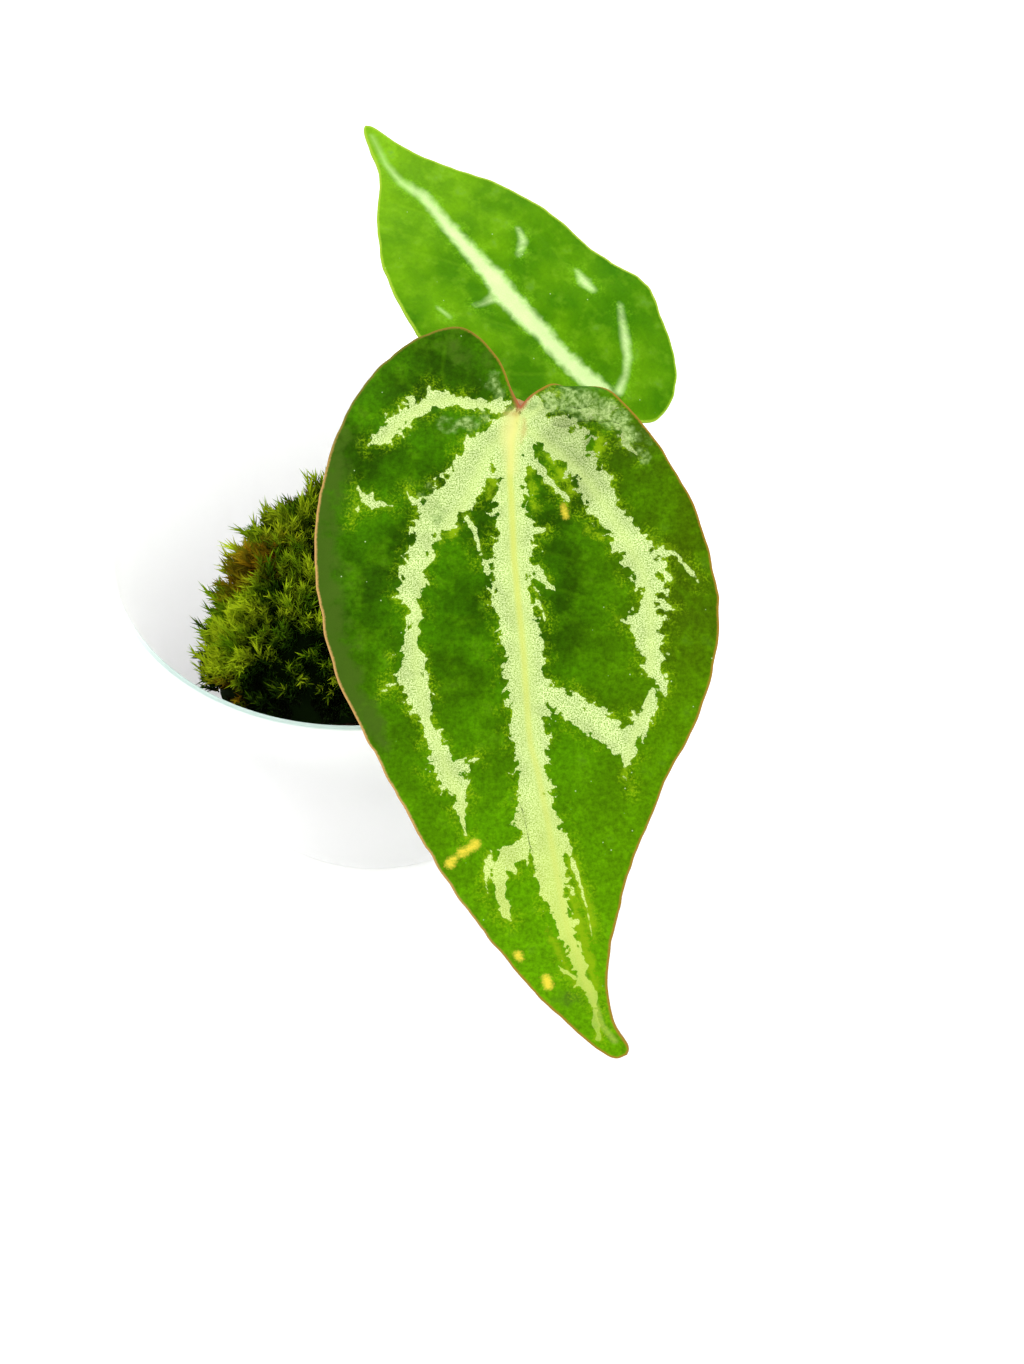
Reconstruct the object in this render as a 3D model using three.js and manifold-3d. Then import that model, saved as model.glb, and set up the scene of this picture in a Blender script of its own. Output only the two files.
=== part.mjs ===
// Potted silver blush anthurium: a young heart-leaved aroid in a small white plastic pot.
// Millimetres, +Z up. The origin is the middle of the pot's underside, and the front of the plant is -Y.
import * as THREE from 'three';
import { mergeVertices } from 'three/addons/utils/BufferGeometryUtils.js';
import Module from 'manifold-3d';

const wasm = await Module();
wasm.setup();

// Pot
const RIM_DIAMETER = 90;
const BASE_DIAMETER = 62;
const POT_HEIGHT = 63;
const POT_WALL = 0.9;
const RIM_WIDTH = 1.5;
const RIM_DEPTH = 4;
const FLOOR_TOP = 2.4;
const BASE_RECESS = 1.2;
const RECESS_FROM = 12;
const RECESS_TO = 27.8;
const DRAIN_HOLES = 8;
const DRAIN_DIAMETER = 6;
const DRAIN_CIRCLE_RADIUS = 20;
const POT_SIDES = 48;

// Root ball and moss. The plug leans a little forward, and the moss edge is as seen from above.
const FIT_GAP = 0.3;
const PLUG_FOOT_CENTRE = [0, -3];
const PLUG_TOP_CENTRE = [0, -7];
const PLUG_FOOT_RADIUS = 23;
const PLUG_TOP_RADIUS = 22.8;
const PLUG_TOP = 44;
const PLUG_ROUGHNESS = 0.9;
const PLUG_LUMP = 9;
const PLUG_SIDES = 32;
const MOSS_MIDDLE = [0, -6];
const MOSS_EDGE = [
  [27, -6], [24, 7], [15, 16], [3, 19], [-9, 15.5], [-16.8, 7.5], [-22.2, -2.5], [-26, -13], [-25, -24],
  [-16, -31], [-3, -31.5], [10, -31], [21, -23],
];
const MOSS_PEAK = 64;
const MOSS_SHOULDER = 4;
const MOSS_ROUGHNESS = 1.2;
const MOSS_LUMP = 11;
const MOSS_SIDES = 36;
const SHOOT_COUNT = 300;
const SHOOT_LENGTH = [4.5, 8];
const SHOOT_WIDTH = 2.6;
const SHOOT_SUNK = 2;
const SHOOT_LEAN = 0.45;

// Crown, roots, sheath and stalks
const CROWN_CENTRE = [12, -3];
const CROWN_OUTLINE = [
  [0, 38], [2.6, 38.6], [4, 42], [3.6, 45.5], [4.4, 48.5], [3.7, 52.5], [4.5, 56], [3.8, 59.5],
  [4.3, 62.5], [3, 66], [0, 67.2],
];
const ROOT_COUNT = 7;
const ROOT_DIAMETER = 2.6;
const ROOT_REACH = 17;
const ROOT_START = 47;
const ROOT_FOOT = 8;
const ROOT_SIDES = 6;
const ROOT_STEPS = 9;
const SHEATH = { thickness: 0.6, radius: 6.2, foot: 57, height: 21, facing: 205, halfTurn: 62 };
const STALK_DIAMETER = 3;
const STALK_FOOT_DIAMETER = 4.2;
const KNEE_DIAMETER = 4;
const KNEE_LENGTH = 8;
const STALK_SIDES = 10;
const STALK_STEPS = 30;
const FRONT_STALK = [
  [11.6, -4.6, 60], [12, -5.6, 69], [15, -5.2, 81], [20.6, -4.6, 91], [26, -6.8, 97.6], [27.9, -11, 101],
];
const BACK_STALK = [
  [13.8, -1.6, 59], [16.2, -1.2, 67.5], [23, 0.6, 74.4], [33, 2.8, 79], [41, 4.5, 82.2], [43.9, 6.1, 86],
];

// Blades. Each outline runs from the sinus round its lobe to the tip, as [across, along] on the flat
// blade, measured from the place where it sits on its stalk, with along growing towards the tip.
// heading turns the blade from straight forward, counter-clockwise seen from above, and slope is how
// far it falls below the level at its base and at its tip, in degrees.
const BLADE_THICKNESS = 0.7;
const RIB_RISE = 1.1;
const BLADE_RIBS = 34;
const BLADE_COLUMNS = [0, 0.05, 0.2, 0.42, 0.64, 0.84, 1];
const DISH_SLOPE = 0.1;
const DISH_ROUND = 4;
const DISH_FALL = 0.0022;
const FAN_SHARE = 0.24;
const FAN_ROOT = 4;

const FRONT_LEAF = {
  joint: [27.8, -10, 102.2],
  heading: 0,
  slope: [26, 52],
  midrib: [[0, 0], [-0.6, 26], [0.8, 44], [2.6, 62], [5, 76], [9, 91], [17, 104.3]],
  left: [
    [0, 0], [-1.3, -2.5], [-3.7, -7.8], [-9.6, -12.7], [-19.2, -9], [-26.8, 0.8], [-31.2, 13.5],
    [-32.2, 25], [-29.6, 41], [-22, 57], [-11.5, 75.6], [2, 93.4], [12.2, 103.2], [15.3, 104.9], [17, 104.3],
  ],
  right: [
    [0, 0], [1.4, -1.3], [3.2, -2.4], [5.6, -3.6], [8.4, -4.6], [12.7, -3.1], [17.4, 0.9], [24, 10.8],
    [29.2, 22.8], [31.2, 35], [28.4, 48], [22, 61.5], [17, 75], [13.9, 90], [14.8, 98.5], [17.3, 103.2],
    [17, 104.3],
  ],
  waveHeight: 0.9,
  waves: [4.5, 4],
  curl: { start: -0.6, radius: 2.8, sinusStart: -4.5, from: 1, to: 7.5 },
};

const BACK_LEAF = {
  joint: [45, 5, 85.7],
  heading: -136,
  slope: [-30, -8],
  midrib: [[0, 0], [1.6, 12], [2.6, 29], [1.8, 44], [1.7, 55], [0, 64], [-2.3, 70.6]],
  left: [
    [0, 0], [-1.6, -2.6], [-5, -4.3], [-10.2, -2.7], [-15.4, 2.6], [-18, 9.6], [-19.5, 15.4],
    [-17.6, 24], [-16, 32], [-11.9, 45.8], [-6.6, 55], [-3.9, 63], [-3, 69.7], [-2.3, 70.6],
  ],
  right: [
    [0, 0], [1.8, -2.8], [6, -5], [12.5, -3], [18.5, 4.5], [21.8, 14], [22, 26], [20.5, 34.5],
    [16.3, 45.2], [10, 53.6], [4, 59.8], [0.8, 66], [-1.4, 70], [-2.3, 70.6],
  ],
  waveHeight: 0.8,
  waves: [3.5, 4],
  curl: null,
};

// Seeded random numbers between 0 and 1, the same on every run.
function randomSource(seed) {
  let state = seed;
  return () => {
    state = (state * 1664525 + 1013904223) % 4294967296;
    return state / 4294967296;
  };
}

// A smooth unevenness between -1 and 1, from three waves that cross, for lumps about half the given size.
function unevenness(point, size) {
  const [x, y, z] = [point.x / size, point.y / size, point.z / size];
  const waves = [5.1 * x + 1.3 * z, 4.3 * y - 2.7 * x + 1, 6.1 * z + 3.7 * y + 2];
  return waves.reduce((sum, phase) => sum + Math.sin(phase) / waves.length, 0);
}

// A closed mesh as a solid that can be joined and cut. Triangles that lose an edge when the shared
// vertices are merged are dropped.
function toSolid(geometry) {
  const bare = geometry.clone();
  bare.deleteAttribute('normal');
  bare.deleteAttribute('uv');
  const merged = mergeVertices(bare, 1e-4);
  const kept = [];
  for (let i = 0; i < merged.index.count; i += 3) {
    const [a, b, c] = merged.index.array.slice(i, i + 3);
    if (a !== b && b !== c && c !== a) kept.push(a, b, c);
  }
  return new wasm.Manifold(new wasm.Mesh({
    numProp: 3,
    vertProperties: new Float32Array(merged.attributes.position.array),
    triVerts: new Uint32Array(kept),
  }));
}

function joinAll(solids) {
  return solids.reduce((sum, next) => sum.add(next));
}

// The largest body of a solid, without the loose scraps that a cut left.
function mainBody(solid) {
  return solid.decompose().reduce((best, next) => (next.volume() > best.volume() ? next : best));
}

function meshGeometry(positions, index) {
  const geometry = new THREE.BufferGeometry();
  geometry.setAttribute('position', new THREE.Float32BufferAttribute(positions, 3));
  geometry.setIndex(index);
  geometry.computeVertexNormals();
  return geometry;
}

function sub(name, solid, color, roughness) {
  const { vertProperties, triVerts } = solid.getMesh();
  const geometry = meshGeometry(Array.from(vertProperties), Array.from(triVerts));
  const mesh = new THREE.Mesh(geometry, new THREE.MeshStandardMaterial({ color, roughness, metalness: 0 }));
  mesh.name = name;
  return mesh;
}

// A body of round section along a smooth curve through the given points. radiusAt gives its radius at
// each share of the way, and grow makes the body larger all round.
function sweep(points, radiusAt, sides, steps, grow) {
  const curve = new THREE.CatmullRomCurve3(points.map((point) => new THREE.Vector3(...point)));
  const frames = curve.computeFrenetFrames(steps, false);
  const positions = [];
  const index = [];
  for (let i = 0; i <= steps; i += 1) {
    const overrun = i === 0 ? -grow : i === steps ? grow : 0;
    const centre = curve.getPointAt(i / steps).addScaledVector(frames.tangents[i], overrun);
    const radius = radiusAt(i / steps, curve.getLength()) + grow;
    for (let k = 0; k < sides; k += 1) {
      const angle = (2 * Math.PI * k) / sides;
      const point = centre.clone()
        .addScaledVector(frames.normals[i], radius * Math.cos(angle))
        .addScaledVector(frames.binormals[i], radius * Math.sin(angle));
      positions.push(...point);
    }
  }
  for (let i = 0; i < steps; i += 1) {
    for (let k = 0; k < sides; k += 1) {
      const a = i * sides + k;
      const b = i * sides + ((k + 1) % sides);
      index.push(a, b, b + sides, a, b + sides, a + sides);
    }
  }
  const last = steps * sides;
  for (let k = 1; k < sides - 1; k += 1) {
    index.push(0, k + 1, k, last, last + k, last + k + 1);
  }
  return toSolid(meshGeometry(positions, index));
}

// A body turned round the Z axis, from an outline of [radius, height] points that starts and ends on
// the axis.
function turned(outline, sides) {
  const points = outline.map(([radius, height]) => new THREE.Vector2(radius, height));
  return new THREE.LatheGeometry(points, sides).rotateX(Math.PI / 2);
}

// The pot is moulded in one piece: a thin tapered wall, a thicker lip, and a floor that is raised in a
// ring, so that the water which leaves by the drain holes can run away.
function makePot() {
  const rim = RIM_DIAMETER / 2;
  const base = BASE_DIAMETER / 2;
  const underLip = rim - 0.5;
  const inner = rim - RIM_WIDTH;
  const lipFoot = POT_HEIGHT - RIM_DEPTH;
  const outline = [
    [0, 0], [RECESS_FROM, 0], [RECESS_FROM + 1.2, BASE_RECESS], [RECESS_TO - 1.2, BASE_RECESS],
    [RECESS_TO, 0], [base - 1, 0], [base, 1], [underLip, lipFoot], [rim - 0.1, lipFoot + 0.2],
    [rim, lipFoot + 0.6], [rim, POT_HEIGHT - 0.7], [rim - 0.3, POT_HEIGHT - 0.1],
    [rim - 0.75, POT_HEIGHT], [inner + 0.3, POT_HEIGHT - 0.1], [inner, POT_HEIGHT - 0.6],
    [underLip - POT_WALL, lipFoot], [base - POT_WALL, FLOOR_TOP + 1.4],
    [base - POT_WALL - 1.4, FLOOR_TOP], [0, FLOOR_TOP],
  ];
  const pot = toSolid(turned(outline, POT_SIDES));
  const holes = Array.from({ length: DRAIN_HOLES }, (_, i) => {
    const angle = (2 * Math.PI * (i + 0.5)) / DRAIN_HOLES;
    const hole = new THREE.CylinderGeometry(DRAIN_DIAMETER / 2, DRAIN_DIAMETER / 2, 6, 16);
    hole.rotateX(Math.PI / 2);
    hole.translate(DRAIN_CIRCLE_RADIUS * Math.cos(angle), DRAIN_CIRCLE_RADIUS * Math.sin(angle), FLOOR_TOP);
    return toSolid(hole);
  });
  return pot.subtract(joinAll(holes));
}

// The crown and its roots grew as one piece. grow makes it larger all round, for the hole it stands in.
function makeCrown(grow) {
  const outline = CROWN_OUTLINE.map(([radius, height], i) => {
    const end = i === 0 ? -grow : i === CROWN_OUTLINE.length - 1 ? grow : 0;
    return [radius === 0 ? 0 : radius + grow, height + end];
  });
  const stem = turned(outline, 12).translate(...CROWN_CENTRE, 0);
  const random = randomSource(11);
  const roots = Array.from({ length: ROOT_COUNT }, (_, i) => {
    const angle = (2 * Math.PI * (i + 0.3 * random())) / ROOT_COUNT;
    const at = (share, height) => {
      const swing = angle + 0.5 * Math.sin(6 * share + i);
      const middle = CROWN_CENTRE.map((value, k) => value + (PLUG_FOOT_CENTRE[k] - value) * share);
      return [
        middle[0] + ROOT_REACH * share * Math.cos(swing),
        middle[1] + ROOT_REACH * share * Math.sin(swing),
        height,
      ];
    };
    const start = ROOT_START - 5 * random();
    const foot = ROOT_FOOT + 6 * random();
    const path = [at(0, start + 1), at(0.3, start - 4), at(0.65, 0.6 * start), at(0.9, 20), at(1, foot)];
    const radiusAt = (share) => (ROOT_DIAMETER / 2) * (1 - 0.45 * share);
    return sweep(path, radiusAt, ROOT_SIDES, ROOT_STEPS, grow);
  });
  return joinAll([toSolid(stem), ...roots]);
}

// A stalk widens at its foot, where it clasps the crown, and at the knee under the blade.
function makeStalk(points, grow) {
  const radiusAt = (share, length) => {
    const toEnd = (1 - share) * length;
    const knee = THREE.MathUtils.smoothstep(KNEE_LENGTH - toEnd, 0, 0.5 * KNEE_LENGTH);
    const foot = 1 - THREE.MathUtils.smoothstep(share * length, 4, 18);
    const diameter = STALK_DIAMETER + (KNEE_DIAMETER - STALK_DIAMETER) * knee
      + (STALK_FOOT_DIAMETER - STALK_DIAMETER) * foot;
    return diameter / 2;
  };
  return sweep(points, radiusAt, STALK_SIDES, STALK_STEPS, grow);
}

// The dry sheath: a pointed, hollow half-tube that stands round the foot of the front stalk.
function makeSheath(grow) {
  const rows = 10;
  const columns = 10;
  const { thickness, radius, foot, height, facing, halfTurn } = SHEATH;
  const positions = [];
  [thickness / 2 + grow, -thickness / 2 - grow].forEach((offset) => {
    for (let i = 0; i <= rows; i += 1) {
      const share = i / rows;
      const spread = halfTurn * Math.sqrt(1 - share ** 2.2) + 2;
      const lean = radius + 1.6 * share * share + offset;
      for (let j = 0; j <= columns; j += 1) {
        const angle = THREE.MathUtils.degToRad(facing + spread * ((2 * j) / columns - 1));
        positions.push(
          CROWN_CENTRE[0] + lean * Math.cos(angle),
          CROWN_CENTRE[1] + lean * Math.sin(angle),
          foot + height * share,
        );
      }
    }
  });
  return toSolid(meshGeometry(positions, shellIndex(rows, columns)));
}

// The triangles of a thin slab made of two grids of points, the outer one first.
function shellIndex(rows, columns) {
  const width = columns + 1;
  const layer = (rows + 1) * width;
  const index = [];
  for (let i = 0; i < rows; i += 1) {
    for (let j = 0; j < columns; j += 1) {
      const a = i * width + j;
      const [b, c, d] = [a + 1, a + 1 + width, a + width];
      index.push(a, b, c, a, c, d, layer + a, layer + c, layer + b, layer + a, layer + d, layer + c);
    }
  }
  const border = [];
  for (let j = 0; j < columns; j += 1) border.push(j);
  for (let i = 0; i < rows; i += 1) border.push(i * width + columns);
  for (let j = columns; j > 0; j -= 1) border.push(rows * width + j);
  for (let i = rows; i > 0; i -= 1) border.push(i * width);
  border.forEach((a, k) => {
    const b = border[(k + 1) % border.length];
    index.push(a, layer + a, b, b, layer + a, layer + b);
  });
  return index;
}

// The plug of potting mix, as an uneven drum that stands on the pot's floor.
function makeRootBall() {
  const foot = FLOOR_TOP + FIT_GAP;
  const rings = 8;
  const outline = [[0, foot], [12, foot], [PLUG_FOOT_RADIUS - 1.5, foot]];
  for (let i = 0; i <= rings; i += 1) {
    const radius = PLUG_FOOT_RADIUS + ((PLUG_TOP_RADIUS - PLUG_FOOT_RADIUS) * i) / rings;
    outline.push([radius, foot + 1.5 + ((PLUG_TOP - foot - 3) * i) / rings]);
  }
  outline.push([PLUG_TOP_RADIUS - 2, PLUG_TOP], [14, PLUG_TOP], [0, PLUG_TOP]);
  const drum = turned(outline, PLUG_SIDES);
  const position = drum.attributes.position;
  const point = new THREE.Vector3();
  for (let i = 0; i < position.count; i += 1) {
    point.fromBufferAttribute(position, i);
    const swell = 1 + (PLUG_ROUGHNESS * unevenness(point, PLUG_LUMP)) / PLUG_FOOT_RADIUS;
    const lean = point.z / PLUG_TOP;
    const middle = PLUG_FOOT_CENTRE.map((value, k) => value + (PLUG_TOP_CENTRE[k] - value) * lean);
    position.setXY(i, middle[0] + point.x * swell, middle[1] + point.y * swell);
  }
  return toSolid(drum);
}

const mossEdge = new THREE.CatmullRomCurve3(MOSS_EDGE.map(([x, y]) => new THREE.Vector3(x, y, 0)), true);

// A point on the mound at a share of the way round its edge and a share of the way out to it.
function mossPlace(round, out) {
  const foot = PLUG_TOP + FIT_GAP + 1.5;
  const point = new THREE.Vector3(...MOSS_MIDDLE, 0).lerp(mossEdge.getPoint(((round % 1) + 1) % 1), out);
  point.z = foot + (MOSS_PEAK - foot) * (1 - out ** MOSS_SHOULDER);
  point.z += MOSS_ROUGHNESS * unevenness(point, MOSS_LUMP) * (1 - out ** 6);
  return point;
}

function makeMound() {
  const shares = [0.14, 0.3, 0.46, 0.6, 0.72, 0.82, 0.89, 0.94, 0.975, 1];
  const foot = PLUG_TOP + FIT_GAP;
  const positions = [...mossPlace(0, 0)];
  const index = [];
  const rings = [
    ...shares.map((share) => (round) => mossPlace(round, share)),
    (round) => mossPlace(round, 0.97).setZ(foot),
  ];
  rings.forEach((ring) => {
    for (let k = 0; k < MOSS_SIDES; k += 1) positions.push(...ring(k / MOSS_SIDES));
  });
  const centre = positions.length / 3;
  positions.push(...MOSS_MIDDLE, foot);
  const at = (ring, k) => 1 + ring * MOSS_SIDES + (k % MOSS_SIDES);
  for (let k = 0; k < MOSS_SIDES; k += 1) {
    index.push(0, at(0, k), at(0, k + 1));
    for (let ring = 0; ring < rings.length - 1; ring += 1) {
      index.push(at(ring, k), at(ring + 1, k), at(ring + 1, k + 1));
      index.push(at(ring, k), at(ring + 1, k + 1), at(ring, k + 1));
    }
    index.push(centre, at(rings.length - 1, k + 1), at(rings.length - 1, k));
  }
  return toSolid(meshGeometry(positions, index));
}

// One moss shoot: a three-sided spike with its root sunk in the mound.
function makeShoot(foot, direction, length, turn) {
  const spike = new THREE.ConeGeometry(SHOOT_WIDTH / 2, length + SHOOT_SUNK, 3, 1);
  spike.translate(0, (length + SHOOT_SUNK) / 2 - SHOOT_SUNK, 0);
  spike.rotateY(turn);
  spike.applyQuaternion(new THREE.Quaternion().setFromUnitVectors(new THREE.Vector3(0, 1, 0), direction));
  spike.translate(...foot);
  return toSolid(spike);
}

// The shoots stand all over the mound, an even spiral of them, each leaning its own way.
function makeMoss() {
  const random = randomSource(5);
  const goldenTurn = (3 - Math.sqrt(5)) / 2;
  const shoots = Array.from({ length: SHOOT_COUNT }, (_, i) => {
    const round = i * goldenTurn + 0.03 * random();
    const out = ((i + 0.5) / SHOOT_COUNT) ** 0.4;
    const foot = mossPlace(round, out);
    const outwards = mossPlace(round, Math.min(1, out + 0.02)).sub(mossPlace(round, out - 0.02));
    const sideways = mossPlace(round + 0.01, out).sub(foot);
    const direction = outwards.cross(sideways).normalize();
    direction.z += 0.35;
    direction.x += SHOOT_LEAN * (2 * random() - 1);
    direction.y += SHOOT_LEAN * (2 * random() - 1);
    const length = SHOOT_LENGTH[0] + (SHOOT_LENGTH[1] - SHOOT_LENGTH[0]) * random();
    return makeShoot(foot, direction.normalize(), length, 6 * random());
  });
  return joinAll([makeMound(), ...shoots]);
}

// How far a blade stands above its flat plane: a shallow channel along the midrib, and halves that
// fall away towards the margin.
function dishRise(fromMidrib) {
  const channel = DISH_SLOPE * (Math.hypot(fromMidrib, DISH_ROUND) - DISH_ROUND);
  return channel - DISH_FALL * fromMidrib ** 2;
}

// The place in space of a point of the blade: it is bent down along its length, turned to its heading
// and carried to its stalk. rise is the height above the flat blade.
function bladePlace(leaf, across, along, rise) {
  const [slopeBase, slopeTip] = leaf.slope.map((angle) => THREE.MathUtils.degToRad(angle));
  const bend = (slopeTip - slopeBase) / leaf.midrib.at(-1)[1];
  const beyond = Math.min(along, 0);
  const slope = slopeBase + bend * Math.max(along, 0);
  const forward = (Math.sin(slope) - Math.sin(slopeBase)) / bend + Math.cos(slopeBase) * beyond;
  const up = (Math.cos(slope) - Math.cos(slopeBase)) / bend - Math.sin(slopeBase) * beyond;
  const point = new THREE.Vector3(
    across,
    -(forward + rise * Math.sin(slope)),
    up + rise * Math.cos(slope),
  );
  point.applyAxisAngle(new THREE.Vector3(0, 0, 1), THREE.MathUtils.degToRad(leaf.heading));
  return point.add(new THREE.Vector3(...leaf.joint));
}

// Behind the line where the curl starts, the right lobe rolls down round a small radius. The line
// lies further back beside the sinus, so that the blade is flat there.
function curled(curl, across, along, rise) {
  if (!curl || across <= curl.from) return [along, rise];
  const { start, sinusStart, radius, from, to } = curl;
  const line = sinusStart + (start - sinusStart) * THREE.MathUtils.smoothstep(across, from, to);
  const turn = Math.max(0, line - along) / radius;
  if (turn === 0) return [along, rise];
  return [line - radius * Math.sin(turn), rise - radius * (1 - Math.cos(turn))];
}

// The across value of the midrib at a distance along the blade.
function midribAcross(midrib, along) {
  let [low, high] = [0, 1];
  for (let step = 0; step < 30; step += 1) {
    const middle = (low + high) / 2;
    if (midrib.getPoint(middle).y < along) low = middle;
    else high = middle;
  }
  return along <= 0 ? 0 : midrib.getPoint(low).x;
}

// A blade is a grid of ribs from the midrib to the margin. The first ribs fan out from the head of
// the stalk into the lobes, as the basal veins do, and the rest leave the midrib one after another.
// grow makes the blade thicker all round.
function makeBlade(leaf, grow) {
  const flat = (points) => new THREE.CatmullRomCurve3(
    points.map(([across, along]) => new THREE.Vector3(across, along, 0)),
    false,
    'centripetal',
  );
  const midrib = flat(leaf.midrib);
  const margins = [flat(leaf.left), flat(leaf.right)];
  const length = leaf.midrib.at(-1)[1];
  const lastColumn = BLADE_COLUMNS.length - 1;
  const points = [];
  const numberOf = new Map();

  // The ribs stand closer in the lobes and at the tip, where the outline turns most.
  const ribShare = (i) => i / BLADE_RIBS - 0.09 * Math.sin((2 * Math.PI * i) / BLADE_RIBS);
  const rootAlong = (i) => {
    const share = Math.max(0, (ribShare(i) - FAN_SHARE) / (1 - FAN_SHARE));
    return FAN_ROOT + (length - FAN_ROOT) * share;
  };

  // The two sides share the points of the midrib, of the line up to the sinus, and of the tip.
  const keyOf = (side, i, j) => {
    if (i === BLADE_RIBS) return 'tip';
    if (j === 0) return `midrib ${rootAlong(i).toFixed(4)}`;
    return i === 0 ? `sinus ${j}` : `${side} ${i} ${j}`;
  };

  const placeAt = (across, along, wave) => {
    const rise = dishRise(across - midribAcross(midrib, along)) + wave;
    return bladePlace(leaf, across, ...curled(leaf.curl, across, along, rise));
  };

  // The direction straight out of the blade's upper face, from two short steps along it.
  const outOf = (across, along) => {
    const sideways = placeAt(across + 0.1, along, 0).sub(placeAt(across - 0.1, along, 0));
    const forwards = placeAt(across, along + 0.1, 0).sub(placeAt(across, along - 0.1, 0));
    return forwards.cross(sideways).normalize();
  };

  const pointOf = (side, i, j) => {
    const key = keyOf(side, i, j);
    if (numberOf.has(key)) return numberOf.get(key);
    const columnShare = BLADE_COLUMNS[j];
    const root = rootAlong(i);
    const rootAcross = midribAcross(midrib, root);
    const edge = margins[side].getPointAt(ribShare(i));
    const across = rootAcross + (edge.x - rootAcross) * columnShare;
    const along = root + (edge.y - root) * columnShare;
    const window = Math.sin(Math.PI * Math.min(1, 1.3 * ribShare(i))) ** 2;
    const wave = leaf.waveHeight * window * columnShare ** 2
      * Math.sin(2 * Math.PI * leaf.waves[side] * ribShare(i) + side);
    const rib = j === 0 ? RIB_RISE * (1 - (0.8 * root) / length) : 0;
    points.push({ place: placeAt(across, along, wave), out: outOf(across, along), rib });
    numberOf.set(key, points.length - 1);
    return points.length - 1;
  };

  const faces = [];
  const edges = [];
  [0, 1].forEach((side) => {
    for (let i = 0; i < BLADE_RIBS; i += 1) {
      for (let j = 0; j < lastColumn; j += 1) {
        const [a, b] = [pointOf(side, i, j), pointOf(side, i, j + 1)];
        const [c, d] = [pointOf(side, i + 1, j + 1), pointOf(side, i + 1, j)];
        faces.push(...(side === 0 ? [[a, b, c], [a, c, d]] : [[a, c, b], [a, d, c]]));
      }
      const edge = [pointOf(side, i, lastColumn), pointOf(side, i + 1, lastColumn)];
      edges.push(side === 0 ? edge : edge.reverse());
    }
  });
  const whole = faces.filter(([a, b, c]) => a !== b && b !== c && c !== a);
  return thickened(points, whole, edges, BLADE_THICKNESS / 2 + grow);
}

// Gives a surface its thickness, with the same triangles above and below and the midrib's rib beneath.
function thickened(points, faces, edges, half) {
  const above = points.flatMap(({ place, out }) => [...place.clone().addScaledVector(out, half)]);
  const below = points.flatMap(({ place, out, rib }) => [...place.clone().addScaledVector(out, -half - rib)]);
  const count = points.length;
  const index = faces.flat();
  faces.forEach(([a, b, c]) => index.push(count + a, count + c, count + b));
  edges.forEach(([a, b]) => index.push(b, a, count + a, b, count + a, count + b));
  return toSolid(meshGeometry([...above, ...below], index));
}

// Each piece is cut clear of its neighbours by the gap that touching pieces keep.
const bladeSpace = { front: makeBlade(FRONT_LEAF, FIT_GAP), back: makeBlade(BACK_LEAF, FIT_GAP) };
const crownSpace = makeCrown(FIT_GAP);
const stalkSpace = joinAll([makeStalk(FRONT_STALK, FIT_GAP), makeStalk(BACK_STALK, FIT_GAP)]);
const sheathSpace = makeSheath(FIT_GAP);
const stalkFront = mainBody(makeStalk(FRONT_STALK, 0).subtract(joinAll([crownSpace, bladeSpace.front])));
const stalkBack = mainBody(makeStalk(BACK_STALK, 0).subtract(joinAll([crownSpace, bladeSpace.back])));
const sheath = mainBody(makeSheath(0).subtract(joinAll([crownSpace, stalkSpace])));
const rootBall = mainBody(makeRootBall().subtract(crownSpace));
const moss = mainBody(makeMoss().subtract(joinAll([crownSpace, stalkSpace, sheathSpace])));

const plant = new THREE.Group();
plant.add(
  sub('pot', makePot(), 0xf4f6f4, 0.4),
  sub('root_ball', rootBall, 0x3a2a1a, 0.95),
  sub('moss', moss, 0x3f6a12, 0.9),
  sub('crown', makeCrown(0), 0x6f7a3c, 0.7),
  sub('cataphyll', sheath, 0xa98a5a, 0.8),
  sub('petiole_front', stalkFront, 0x7ea24a, 0.5),
  sub('petiole_back', stalkBack, 0x8cb552, 0.5),
  sub('blade_front', makeBlade(FRONT_LEAF, 0), 0x3f7a12, 0.6),
  sub('blade_back', makeBlade(BACK_LEAF, 0), 0x62a81c, 0.55),
);

export default plant;
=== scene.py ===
import math
import bpy
import numpy as np
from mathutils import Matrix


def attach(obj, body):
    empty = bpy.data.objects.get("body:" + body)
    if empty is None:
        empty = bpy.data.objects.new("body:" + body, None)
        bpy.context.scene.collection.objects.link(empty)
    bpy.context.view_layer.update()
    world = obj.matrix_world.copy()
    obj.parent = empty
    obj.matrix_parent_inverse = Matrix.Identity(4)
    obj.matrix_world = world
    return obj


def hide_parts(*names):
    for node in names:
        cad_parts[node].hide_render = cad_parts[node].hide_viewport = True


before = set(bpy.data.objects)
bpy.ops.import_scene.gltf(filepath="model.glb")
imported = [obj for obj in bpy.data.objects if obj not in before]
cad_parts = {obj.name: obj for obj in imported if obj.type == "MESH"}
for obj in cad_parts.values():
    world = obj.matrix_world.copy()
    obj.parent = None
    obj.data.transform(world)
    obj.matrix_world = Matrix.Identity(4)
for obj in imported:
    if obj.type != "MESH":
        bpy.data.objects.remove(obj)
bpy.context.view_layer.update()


# Pot
# A small nursery pot of thin white polypropylene, injection-moulded in one piece, with a thicker
# lip, a floor raised in a ring and eight drain holes. The plug only stands in it.

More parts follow.
